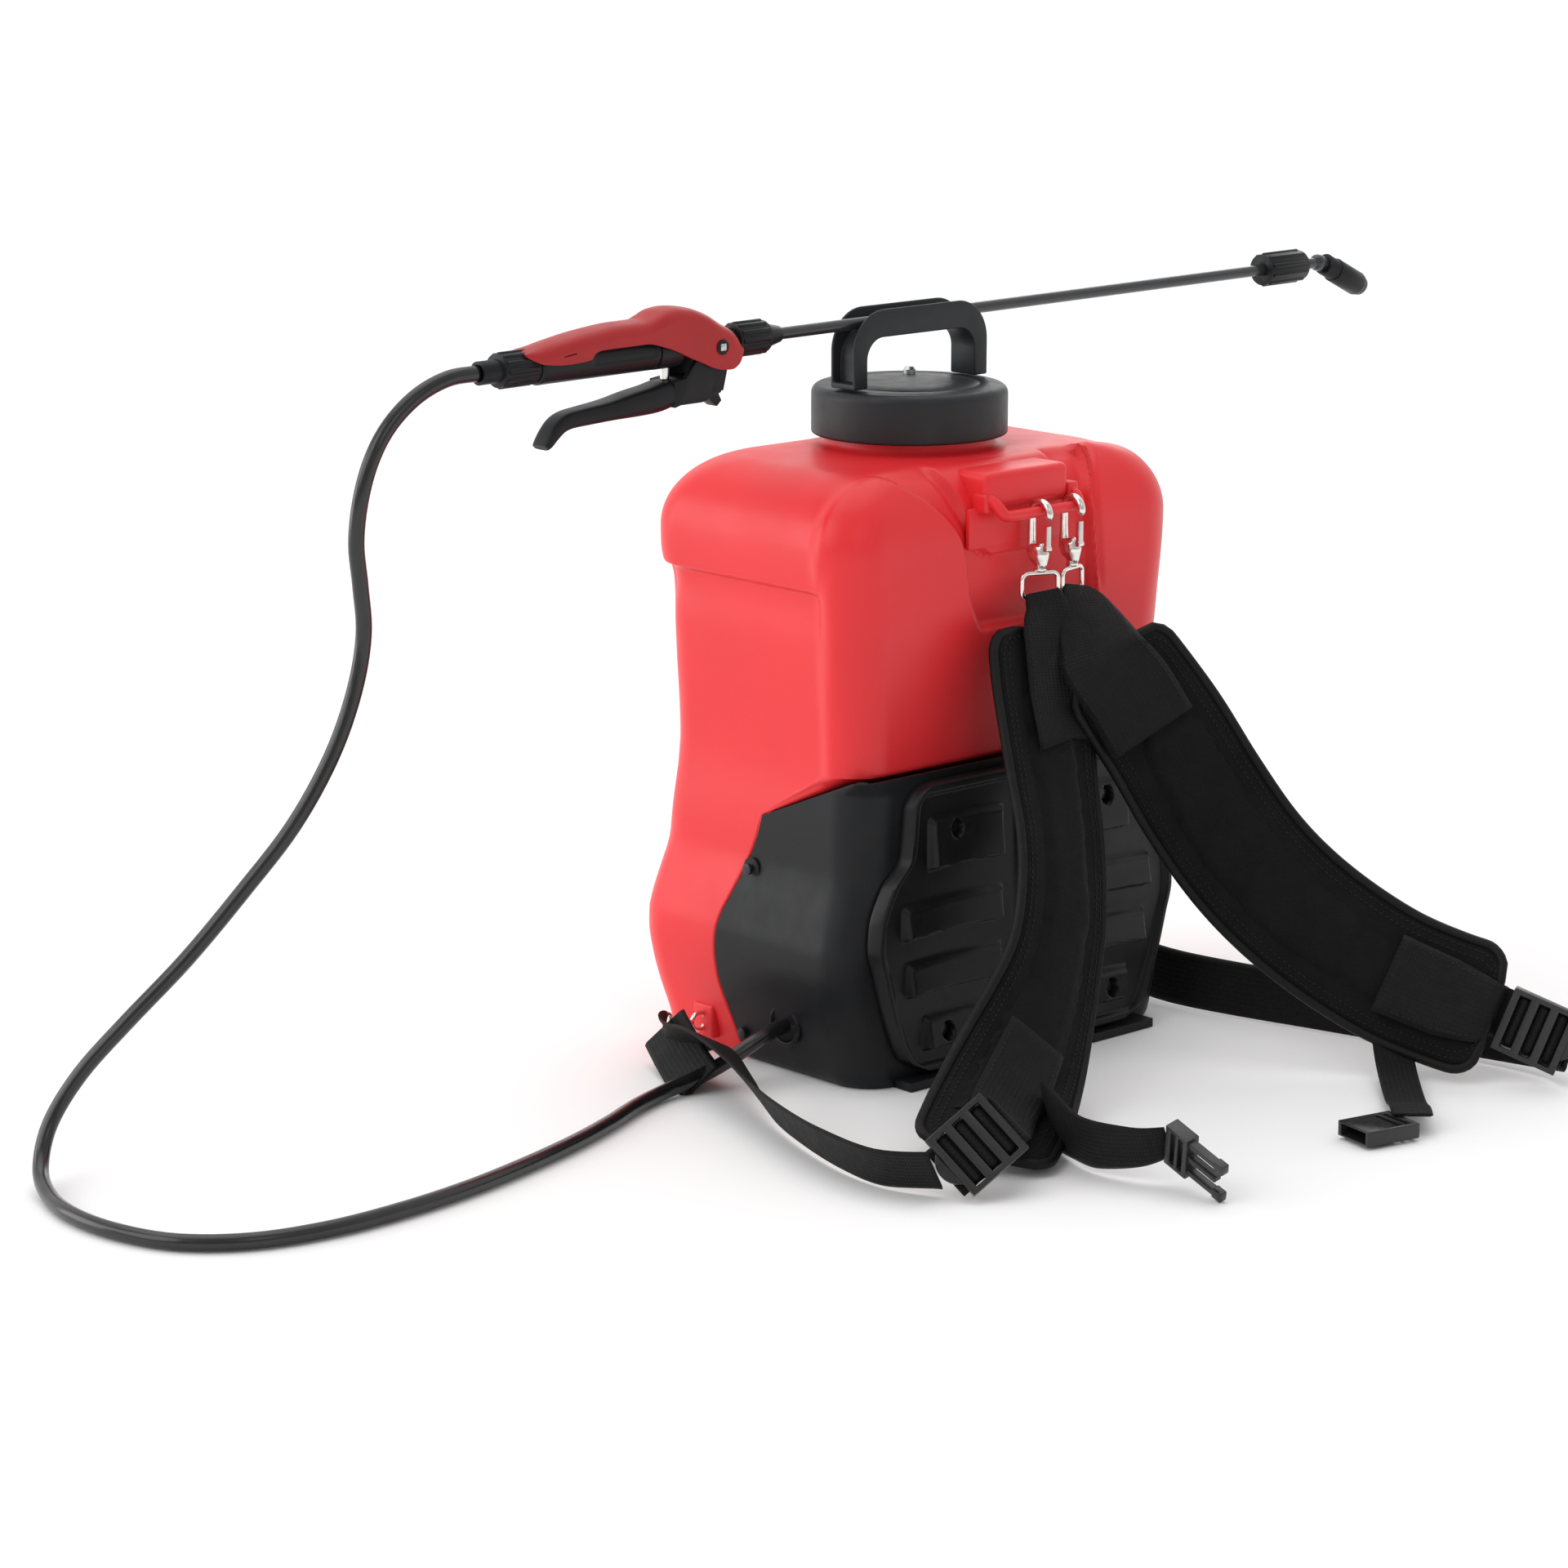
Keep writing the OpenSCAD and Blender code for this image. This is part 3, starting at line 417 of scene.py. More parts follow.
def loop_mesh(name, path, radius, sides=10, reference=(0, 0, 1)):
    """A closed ring of bar along a path whose last point joins its first."""
    rings = []
    for i, point in enumerate(path):
        t = unit(path[(i + 1) % len(path)] - path[i - 1])
        s = unit(np.cross(reference, t))
        rings.append(circle_round(point, radius, s, np.cross(t, s), sides))
    faces = grid_faces(len(path), sides, closed=True)
    return outward(new_object(name, np.concatenate(rings), faces))


def station_frames(stations, per):
    """A band's centres, tangents, width directions and normals in metres, smoothed from
    stations that each give a centre in millimetres and a width direction."""
    centres = spline(mm([s[:3] for s in stations]), per)
    widths = spline([s[3:] for s in stations], per)
    out = []
    for c, t, w in zip(centres, tangents_of(centres), widths):
        u = unit(w - t * np.dot(w, t))
        out.append((c, t, u, np.cross(t, u)))
    return out


def runs_of(frames):
    return runs_along([f[0] for f in frames])


def band_mesh(name, frames, width, thickness, end_slant=0.0):
    """Flat webbing along frames, with rolled edges; end_slant skews its far end. width is
    one number, or one for each frame."""
    halves = np.broadcast_to(np.asarray(width, float), (len(frames),)) / 2
    roll = 0.07
    profile = [(a, math.sqrt(max(0.0, 1 - max(0.0, (abs(a) - 1 + roll) / roll) ** 2)))
               for a in np.linspace(-1, 1, 15)]
    section = profile + [(a, -h) for a, h in profile[::-1][1:-1]]
    run = runs_of(frames)
    rings, uv = [], []
    for i, (c, t, u, n) in enumerate(frames):
        slant = end_slant if i == len(frames) - 1 else 0.0
        rings.append(np.array([c + u * a * halves[i] + n * h * thickness / 2 + t * slant * a
                               for a, h in section]))
        uv += [(run[i] + slant * a, a * halves[i]) for a, h in section]
    return loft_mesh(name, rings, uv=uv)


def join(objs, name):
    """One object from several meshes of one material."""
    joined = new_object(name, [], [])
    with edited(joined) as bm:
        for o in objs:
            bm.from_mesh(o.data)
    for o in objs:
        bpy.data.objects.remove(o)
    return joined


def bevelled(obj, width, segments=3, angle=30):
    bevel = obj.modifiers.new("edges", "BEVEL")
    bevel.width = width
    bevel.segments = segments
    bevel.limit_method = "ANGLE"
    bevel.angle_limit = math.radians(angle)
    apply_modifiers(obj)
    return obj


def refined(node, finish, width, segments=3, angle=30):
    """A copy of a CAD node with its flat faces merged and its edges rounded by width."""
    source = frame["nodes"][node]
    bm = bmesh.new()
    bm.from_mesh(source.data)
    bmesh.ops.remove_doubles(bm, verts=bm.verts, dist=2e-6)
    bmesh.ops.dissolve_limit(bm, angle_limit=math.radians(1.2), verts=bm.verts,
                             edges=bm.edges)
    verts = [v.co.copy() for v in bm.verts]
    bm.verts.index_update()
    faces = [[v.index for v in f.verts] for f in bm.faces]
    bm.free()
    obj = bevelled(new_object(node + "_look", verts, faces), width, segments, angle)
    return finish_object(obj, finish, source["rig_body"], (node,), sharp=angle)


def rounded_block(name, low, high, radius, segments=4):
    """A block between two corners with every edge rounded."""
    ends = mm([low, high])
    corners = [(ends[i][0], ends[j][1], ends[k][2])
               for i in (0, 1) for j in (0, 1) for k in (0, 1)]
    sides = [(0, 1, 3, 2), (4, 6, 7, 5), (0, 4, 5, 1), (2, 3, 7, 6), (0, 2, 6, 4), (1, 5, 7, 3)]
    return bevelled(outward(new_object(name, corners, sides)), radius, segments)


def lathe_mesh(name, profile, steps=96):
    """(radius, height) rows in millimetres turned about Z."""
    turn = ring_angles(steps)
    rings = [mm(np.stack([r * np.cos(turn), r * np.sin(turn), np.full(steps, z)], 1))
             for r, z in profile]
    return loft_mesh(name, rings)


def painted_shade_disc(name, radius, matrix):
    """A thin dark disc of painted shade, standing in for the shaded floor of a hole."""
    disc = lathe_mesh(name, [(0.01, 0), (radius, 0), (radius, 0.5), (0.01, 0.5)], 40)
    disc.data.transform(matrix)
    finish_object(disc, "painted_hole_shade", "root")


def wall_of(obj, thickness):
    """Gives an open shell a wall on its inner side."""
    wall = obj.modifiers.new("wall", "SOLIDIFY")
    wall.thickness = thickness
    wall.offset = -1
    apply_modifiers(obj)


add_finishes()

# ---------- hose ----------
HOSE_ROUTE = [
    [-152.5, -44, 36], [-168, -45, 35], [-186, -44, 29], [-203, -38, 19],
    [-224, -30, 9.5], [-250, -29, 5.6], [-285, -40, 5.3], [-325, -58, 5.3],
    [-368, -74, 5.3], [-420, -89, 5.3], [-475, -101, 5.3], [-530, -107, 5.3],
    [-585, -106, 5.3], [-633, -93, 5.3], [-668, -64, 5.3], [-684, -22, 5.3],
    [-686, 22, 5.3], [-676, 62, 5.6], [-662, 92, 13], [-646, 104, 36],
    [-626, 98, 66], [-600, 83, 98], [-566, 65, 136], [-533, 48, 178],
    [-504, 33, 218], [-480, 24, 260], [-464, 20, 300], [-457, 18, 336],
    [-461, 15, 368], [-465, 13, 396], [-463, 10, 424], [-455, 8, 449],
    [-441, 7, 469], [-421, 5, 485], [-399, 2, 494], [-377.7, 0, 495.3]]
HOSE_DIAMETER = 0.0105
hose_path = mm(spline(HOSE_ROUTE, 6))
hose = tube_mesh("hose", hose_path, HOSE_DIAMETER / 2, 24, (0.5, -0.6, -0.6))
finish_object(hose, "hose_rubber", None, ("hose_tube",))
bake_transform(hose)

# ---------- tank ----------
SHOULDER_Z, SHOULDER_R = 362.0, 48.0
SIDE_R = 32.0
half_low = curve_through([(0, 143), (6, 148), (20, 151), (40, 156), (60, 160), (80, 162),
                          (92, 162), (100, 160.4), (120, 156), (143, 150.6), (147, 150.2),
                          (176, 150), (213, 149)])
rear_low = curve_through([(0, 94), (6, 98), (20, 100), (40, 104), (60, 107), (80, 109),
                          (100, 108), (120, 104), (140, 100), (160, 98), (176, 97),
                          (213, 95)])
seam_low = curve_through([(0, 5), (6, 6), (20, 10), (40, 15), (60, 20), (80, 21),
                          (100, 18), (120, 9), (140, 0), (160, -9), (176, -14)])
SEAM_Z, SHELF_Z = 176.0, 213.0
NECK_Z = 412.0
TANK_FRONT = -104.0
FRONT_N, CORNER_N, SIDE_N, REAR_N = 190, 14, 44, 60


def seam_y(z):
    """The seam between tank and pump cover: upright at first, then forward to the lobes."""
    if z <= SEAM_Z:
        return float(seam_low(z))
    return -14 + (z - SEAM_Z) / (SHELF_Z - SEAM_Z) * (-103 + 14)


def outline(hw, y0, y1, r0, r1):
    """Points around a rounded rectangle, counter-clockwise from its front left."""
    def arc(cx, cy, r, a0):
        a = np.radians(a0 + 90 * (np.arange(CORNER_N) + 0.5) / CORNER_N)
        return np.stack([cx + r * np.cos(a), cy + r * np.sin(a)], 1)

    def line(x0, ya, x1, yb, n):
        t = np.linspace(0, 1, n)[:, None]
        return np.array([[x0, ya]]) * (1 - t) + np.array([[x1, yb]]) * t
    return np.concatenate([
        line(-hw + r0, y0, hw - r0, y0, FRONT_N), arc(hw - r0, y0 + r0, r0, -90),
        line(hw, y0 + r0, hw, y1 - r1, SIDE_N), arc(hw - r1, y1 - r1, r1, 0),
        line(hw - r1, y1, -hw + r1, y1, REAR_N), arc(-hw + r1, y1 - r1, r1, 90),
        line(-hw, y1 - r1, -hw, y0 + r0, SIDE_N), arc(-hw + r0, y0 + r0, r0, 180)])


def tank_ring(z):
    """The tank's outline, before its relief, at a height below the shoulder."""
    if z <= SHELF_Z:
        r0 = 2.5 if z <= SEAM_Z else 3 + 27 * (z - SEAM_Z) / (SHELF_Z - SEAM_Z)
        return outline(float(half_low(z)), seam_y(z), float(rear_low(z)), r0, SIDE_R)
    hw = float(149 + 4 * step(z - SHELF_Z, 90) + 4.0 * step(z - 300, 60))
    y1 = float(95 + 5 * step(z - 322, 26))
    return outline(hw, TANK_FRONT, y1, SIDE_R, SIDE_R)


def tank_rings():
    base = tank_ring(0.0)
    inner = base * [[0.985, 1.0]]
    rings = [(0.0, inner), (0.6, base)]
    for z in np.concatenate([np.arange(4, SEAM_Z, 6.0), np.arange(SEAM_Z, SHELF_Z, 3.0),
                             np.arange(SHELF_Z, SHOULDER_Z, 1.7)]):
        rings.append((float(z), tank_ring(float(z))))
    for a in np.radians(np.linspace(2, 86, 34)):
        d = SHOULDER_R * (1 - math.cos(a))
        z = SHOULDER_Z + SHOULDER_R * math.sin(a)
        r = SIDE_R + 10 * (1 - math.cos(a))
        rings.append((z, outline(157 - d, TANK_FRONT + d * 0.7, 100 - d * 0.7, r, r)))
    z_top, last = rings[-1]
    angle = np.arctan2(last[:, 1], last[:, 0])
    circle = np.stack([np.cos(angle), np.sin(angle)], 1)
    for k in range(1, 14):
        t = k / 14
        rings.append((z_top + 2.2 * math.sin(math.pi * t / 2),
                      last * (1 - t) + circle * 62.5 * t))
    for r, z in ((62, 412.5), (60, 413.2), (58.6, 415), (58, 418), (58, 430), (58, 445)):
        rings.append((z, circle * r))
    return rings


recess_left = curve_through([(296, -34), (301, -38), (328, -50), (356, -54), (369, -60),
                             (384, -73), (398, -92), (406, -106), (412, -114)])
recess_right = curve_through([(296, 77), (301, 77), (341, 74), (376, 70.5), (390, 74),
                              (405, 82), (412, 86)])
boss_half = curve_through([(349, 16), (352, 26), (358, 33), (370, 40), (398, 52),
                           (412, 56)])


def front_relief(x, z):
    """How far the strap side stands out at a point, in millimetres: two lobes, the recess
    between them, its ledge, and the boss that the hanger grows from."""
    lobes = 5.0 * step(z - 222, 110)
    left = step(x - recess_left(z), 9)
    right = step(recess_right(z) - x, 5)
    bottom = step(z - 299, 7)
    inside = left * right * bottom
    relief = lobes - 8.5 * inside
    groove = np.exp(-((x - recess_right(z) - 3) / 2.2) ** 2) * step(z - 312, 20)
    relief -= 2.4 * groove
    half = boss_half(z)
    boss = step(half - np.abs(x + 2), 3) * step(z - 349.5, 3.0)
    relief += 4.2 * boss
    rim = np.exp(-((half - np.abs(x + 2) + 3.2) / 1.8) ** 2) * step(z - 346, 4)
    return relief - 1.1 * rim


def side_relief(y, z, x):
    """How far the two ends step in below the shoulder: a flat panel with soft sides."""
    panel = step(y + 80, 14) * step(338 - z, 5.5) * step(z - 150, 60)
    return -(3.6 + 2.6 * step(z - 300, 30)) * panel * step(np.abs(x) - 100, 10)


def rear_relief(x, y, z):
    panel = step(112 - np.abs(x), 7) * step(z - 30, 8) * step(322 - z, 8)
    scale = step(9 - np.abs(x - 70), 3) * step(z - 60, 5) * step(300 - z, 5)
    return (-2.6 * panel + 1.6 * scale) * step(y - 70, 10)


def build_tank():
    rings = tank_rings()
    points = np.array([[[x, y, z] for x, y in ring] for z, ring in rings])
    ahead = np.roll(points, -1, 1) - np.roll(points, 1, 1)
    up = np.gradient(points, axis=0)
    normal = np.cross(ahead, up)
    normal /= np.maximum(np.linalg.norm(normal, axis=2, keepdims=True), 1e-9)
    x, y, z = points[..., 0], points[..., 1], points[..., 2]
    body = step(z - 214, 6) * (z < NECK_Z)
    facing = step(-normal[..., 1] - 0.05, 0.45)
    over = step(-66 - y, 16) * step(z - 330, 30)
    front = front_relief(x, z) * body * np.maximum(facing, over) * step(-62 - y, 14)
    side = side_relief(y, z, x) * step(np.abs(normal[..., 0]) - 0.3, 0.4) * (z > 20)
    rear = rear_relief(x, y, z) * step(normal[..., 1] - 0.5, 0.4)
    points = points + normal * (front + side + rear)[..., None]
    shell = loft_mesh("tank", [mm(ring) for ring in points], end=False)
    wall_of(shell, 0.0026)
    finish_object(shell, "red_plastic", "root", ("tank_shell",), sharp=50)


build_tank()


# ---------- hanger loop ----------
BAR_Y = -121.0


def build_hanger():
    block = rounded_block("block", (-38, -113.5, 383), (41, -80, 408), 0.0052, 4)
    bar_ends = [[-34, -110, 391], [-32.5, -114, 389], [-31, -118.5, 384.5],
                [-28, -120.6, 380], [-22, -121, 379], [0, -121, 379], [30, -121, 379],
                [40, -121, 379.4], [43.5, -119.8, 381], [45, -116, 385], [45, -110, 388]]
    bar = tube_mesh("bar", mm(spline(bar_ends, 5)), 0.0037, 16, (0, 0, 1), flat=1.12)
    feet = [rounded_block("foot", (x - 5, -114, 381), (x + 5, -100, 394), 0.002, 3)
            for x in (-34, 45)]
    boss = rounded_block("boss", (-46, -105.5, 356), (44, -101.5, 384), 0.0015, 2)
    finish_object(join([block, bar, *feet, boss], "hanger"), "red_plastic", "root",
                  ("hanger_loop",), sharp=40)


build_hanger()

# ---------- pump compartment cover ----------
COVER_FRONT = -112.0
SEAM_GAP = 0.8


def cover_back(z):
    return seam_y(z) - SEAM_GAP


def cover_section(z, inset=0.0):
    """One height of the cover: a U from the left seam round the strap side to the right."""
    hw = float(half_low(z)) - inset
    y1 = cover_back(z) if z < 209 else max(cover_back(z), -106.0)
    front = COVER_FRONT + inset
    depth = y1 - front
    r = min(30.0, depth * 0.9)
    corner = np.radians(90 * np.arange(1, 15) / 15)
    left = [(-hw, y1 - (depth - r) * t) for t in np.linspace(0, 1, 26)]
    bend = [(-hw + r - r * math.cos(a), front + r - r * math.sin(a)) for a in corner]
    along = [(x, front) for x in np.linspace(-hw + r, hw - r, 50)]
    half = left + bend
    return np.array([(x, y, z) for x, y in half + along]
                    + [(-x, y, z) for x, y in half[::-1]])


def build_cover():
    heights = np.concatenate([[0.0, 0.8, 2.0], np.arange(5, 140, 5.0), [140, 143, 146, 150],
                              np.arange(155, SEAM_Z, 5.0), np.arange(SEAM_Z, SHELF_Z, 2.0),
                              [212.4]])
    sections = [mm(cover_section(float(z), inset))
                for z, inset in zip(heights, [1.6, 0.4] + [0.0] * (len(heights) - 2))]
    cols = len(sections[0])
    faces = grid_faces(len(sections), cols, wrap=False)
    faces.append(tuple(range(cols)))
    obj = outward(new_object("cover", np.concatenate(sections), faces))
    wall_of(obj, 0.0025)
    finish_object(obj, "black_plastic", "root", ("base_cover",), sharp=40)
    # the pocket that the hose comes out of
    _, py, pz = HOSE_ROUTE[0]
    px = -float(half_low(pz))
    rim = [[px - 0.6, py + 13.2 * math.cos(a), pz + 13.2 * math.sin(a)]
           for a in ring_angles(40)]
    pocket = loop_mesh("hose_pocket", mm(rim), 0.0018, 10, reference=(1, 0, 0))
    finish_object(pocket, "black_plastic", "root")
    # a dark disc of painted shade for the shaded inside of the hose pocket
    painted_shade_disc("hose_pocket_shade", 12.6, placed((px - 0.5, py, pz), (90, "Y")))


build_cover()

# ---------- back plate ----------
plate_half = curve_through([(7, 90), (10, 100), (19, 116), (44, 128), (80, 139), (100, 144),
                            (114, 143), (140, 132), (159, 116), (180, 113.5), (192, 112.5),
                            (203, 104), (207, 94)])
RIBS = [(22, 48, 100), (62, 88, 116), (102, 128, 120), (146, 184, 96)]
RIB_IN = 24.0
PLATE_LOW, PLATE_HIGH, PLATE_BACK = 7, 207, -112.3
PLATE_SCREWS = [(-72, 174), (72, 174), (-80, 35), (80, 35)]


def plate_height(x, z):
    """How far the plate stands off the cover at a point, in millimetres."""
    edge = plate_half(z) - np.abs(x)
    edge = np.minimum(edge, np.minimum(z - PLATE_LOW, PLATE_HIGH - z) + 1.5)
    height = 3.0 + 7.2 * step(edge, 3.0) - 3.8 * step(edge - 6.5, 4.0)
    side = np.abs(x)
    for low, high, reach in RIBS:
        sag = 1.6 * np.sin((side - RIB_IN) / 26)
        z0 = z - sag
        rib = (step(side - RIB_IN, 6) * step(reach - side, 4.5)
               * step(z0 - low, 3.5) * step(high - z0, 6.0))
        slope = 0.6 + 0.4 * step(high - 3 - z0, high - low)
        height = height + 8.2 * rib * slope
    hump = step(16 - side, 8) * step(z - 18, 10) * step(192 - z, 10)
    height = height + 2.4 * hump
    for sx, sz in PLATE_SCREWS:
        d = np.hypot(x - sx, (z - sz) * 0.86)
        height = height - (height - 3.4) * step(6.0 - d, 1.6)
    return height


def build_plate():
    rows, cols = ((200, 250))
    points = []
    for z in PLATE_LOW + (PLATE_HIGH - PLATE_LOW) * np.linspace(0, 1, rows):
        for x in np.linspace(-1, 1, cols) * float(plate_half(z)):
            points.append((x, PLATE_BACK - float(plate_height(x, z)), z))
    obj = new_object("back_plate_ribbed", mm(points), grid_faces(rows, cols, wrap=False))
    with edited(obj) as bm:
        made = bmesh.ops.extrude_edge_only(bm, edges=[e for e in bm.edges if e.is_boundary])
        for v in [g for g in made["geom"] if isinstance(g, bmesh.types.BMVert)]:
            v.co.y = PLATE_BACK / 1000
        bmesh.ops.holes_fill(bm, edges=[e for e in bm.edges if e.is_boundary], sides=0)
        bmesh.ops.recalc_face_normals(bm, faces=bm.faces)
    finish_object(obj, "plate_foam", "root", ("back_plate",), sharp=60)


build_plate()

# ---------- cap ----------
def build_cap():
    profile = [(61.5, 421), (66.4, 420), (67.3, 420.6), (67.5, 422), (67.5, 447)]
    for k in range(1, 9):
        a = math.radians(90 * k / 8)
        profile.append((61.5 + 6 * math.cos(a), 447 + 6.4 * math.sin(a)))
    profile += [(56, 453.9), (50, 454.2), (49, 453.6), (47.8, 453.6), (46.8, 454.3),
                (30, 454.8), (0.01, 455)]
    lid = lathe_mesh("cap", profile, 128)
    inner = lathe_mesh("cap_inner", [(61.5, 421), (61.5, 448), (0.01, 449)], 96)
    body = join([lid, inner], "cap_lid_look")
    with edited(body) as bm:
        bmesh.ops.remove_doubles(bm, verts=bm.verts, dist=1e-6)
    finish_object(body, "cap_plastic", "cap", ("cap_lid",), sharp=50)


build_cap()
refined("cap_handle", "cap_plastic", 0.0016, segments=3, angle=25)


# ---------- gun ----------
LANCE = placed((0, 0, 499), (-0.56, "Y"))
shell_top = curve_through([(-345, 9.5), (-340, 11), (-319, 15), (-290, 19), (-262, 21),
                           (-246, 21), (-238, 23.4), (-230, 26.4), (-220, 27.4),
                           (-208, 26), (-196, 22), (-182, 14), (-172, 8.5), (-166, 2),
                           (-164, -3)])
shell_bottom = curve_through([(-345, 8.0), (-340, 5), (-332, 2), (-315, 0.5), (-296, 1.5),
                              (-292, 5.5), (-286, 7), (-250, 7.2), (-232, 3), (-206, -8),
                              (-184, -16), (-176, -16.5), (-170, -14), (-166, -10),
                              (-164, -6)])
shell_width = curve_through([(-345, 9.5), (-338, 12.4), (-322, 13.8), (-300, 14.6),
                             (-270, 15), (-240, 15.4), (-180, 15.5), (-170, 14.8),
                             (-164, 13)])


def build_gun_shell():
    stations = np.concatenate([np.arange(-345, -330, 2.0), np.arange(-330, -172, 2.5),
                               np.arange(-172, -163.9, 1.0)])
    rings = []
    for x in stations:
        top, low, w = float(shell_top(x)), float(shell_bottom(x)), float(shell_width(x))
        r = min(8.5, max(1.0, (top - low) * 0.75), w - 0.5)
        side = [(-w, low + (top - r - low) * t) for t in np.linspace(0, 1, 10)]
        bend = [(-w + r - r * math.cos(a), top - r + r * math.sin(a))
                for a in np.radians(np.linspace(90 / 9, 90, 9))]
        crown = [(y, top + 0.5 * (1 - (y / (w - r + 0.01)) ** 2))
                 for y in np.linspace(-(w - r), 0, 9)[1:]]
        left = side + bend + crown
        ring = left + [(-y, z) for y, z in left[::-1][1:]]
        rings.append(mm([(x, y, z) for y, z in ring]))
    cols = len(rings[0])
    # a short open slot on each side
    faces = [f for f in grid_faces(len(rings), cols, wrap=False)
             if not (-319 < stations[f[0] // cols] < -309 and f[0] % cols in (7, cols - 9))]
    obj = outward(new_object("gun_shell_look", np.concatenate(rings), faces))
    wall_of(obj, 0.0022)
    obj.data.transform(LANCE)
    finish_object(obj, "gun_red", "gun", ("gun_shell",), sharp=45)


build_gun_shell()


def build_grip():
    """The black grip: a rounded bar with a shallow plain recess on each side."""
    stations = np.concatenate([np.linspace(-333, -331, 4), np.arange(-329.5, -236, 1.5),
                               np.linspace(-235.5, -233.6, 3)])
    turn = ring_angles(72)
    rings = []
    for x in stations:
        end = min(x + 333, -233.6 - x)
        r = 12.5 - 1.2 * (1 - float(step(end, 2.0)))
        y, z = r * np.cos(turn), r * np.sin(turn) * 0.99
        dent = (step(x + 294, 3) * step(-236 - x, 3) * step(np.abs(y) - 9.6, 1.2)
                * step(z + 3.2, 1.4) * step(8.2 - z, 1.4))
        y = y - np.sign(y) * 1.1 * dent
        rings.append(mm(np.stack([np.full(len(turn), x), y, z], 1)))
    obj = loft_mesh("gun_grip_look", rings)
    obj.data.transform(LANCE)
    finish_object(obj, "black_plastic", "gun", ("gun_grip",), sharp=50)
    square = rounded_block("pin_square", (-187.4, -17.2, -3.4), (-182.6, -16.2, 1.4), 0.0005, 2)
    square.data.transform(LANCE)
    finish_object(square, "screw_steel", "gun")


build_grip()
refined("lever_pin", "black_plastic", 0.0007)


def build_lever():
    """The lever: its arms as drawn, and a handle that narrows to a hooked tip."""
    arms = refined("trigger_lever", "black_plastic", 0.0012, segments=3)
    with edited(arms) as bm:
        found = bmesh.ops.bisect_plane(
            bm, geom=bm.verts[:] + bm.edges[:] + bm.faces[:], clear_outer=True,
            plane_co=LANCE @ Vector((-0.224, 0, -0.030)),
            plane_no=LANCE.to_3x3() @ Vector((-1, 0, 0)))
        rim = [g for g in found["geom_cut"] if isinstance(g, bmesh.types.BMEdge)]
        bmesh.ops.holes_fill(bm, edges=rim, sides=0)
    rows = [(-221, -28, 12.5, 8.2), (-226, -29, 12.6, 9.0), (-236, -31, 12.6, 9.0),
            (-252, -32.5, 12.3, 8.2), (-272, -34.4, 11.2, 6.6), (-292, -35.9, 9.8, 6.0),
            (-306, -37.2, 9.0, 5.6), (-314, -40, 8.6, 5.0), (-320, -45, 8.4, 4.2),
            (-325, -50.5, 8.0, 3.2), (-327.5, -52.6, 7.2, 2.2)]
    table = spline(rows, 4)
    path = mm([[x, 0, z] for x, z, w, h in table])
    ca, sa = np.cos(ring_angles(32)), np.sin(ring_angles(32))
    wide, tall = np.sign(ca) * np.abs(ca) ** 0.55, np.sign(sa) * np.abs(sa) ** 0.62
    rings = [p + np.outer(wide * w / 1000, (0, 1, 0)) + np.outer(tall * h / 1000, unit(
        np.cross(f[0], (0, 1, 0)))) for p, f, (x, z, w, h)
        in zip(path, frames_along(path, (0, 1, 0)), table)]
    handle = loft_mesh("lever_handle", rings)
    handle.data.transform(LANCE)
    finish_object(handle, "black_plastic", arms["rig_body"], sharp=60)


build_lever()
refined("lever_lock", "black_plastic", 0.0007)
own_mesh(frame["nodes"]["valve_spring"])
refined("valve_body", "black_plastic", 0.0008)
for nut in ("hose_nut", "lance_nut", "nozzle_nut", "nozzle_tip"):
    refined(nut, "black_plastic", 0.0006, segments=2)

# ---------- hooks, anchors and screws ----------
# for each upper hook, where it hangs on the bar and how far its eye is turned
UPPER_HOOKS = {"a": (6.0, -20.0), "b": (37.0, 15.0)}
HOOK_Z = 377.2
HOOK_BACK = -113.0


def wire_frame(name, xs, zs, r, wire, points, side=1):
    """A closed wire with rounded corners, between two xs and two zs."""
    path = []
    for cx, cz, start in ((xs[1] - r, zs[1] - r, 0), (xs[0] + r, zs[1] - r, 90),
                          (xs[0] + r, zs[0] + r, 180), (xs[1] - r, zs[0] + r, 270)):
        for a in np.radians(start + 90 * np.arange(points) / (points - 1)):
            path.append([side * (cx + r * math.cos(a)), 0, cz + r * math.sin(a)])
    return loop_mesh(name, mm(path), wire, 12, reference=(0, 1, 0))


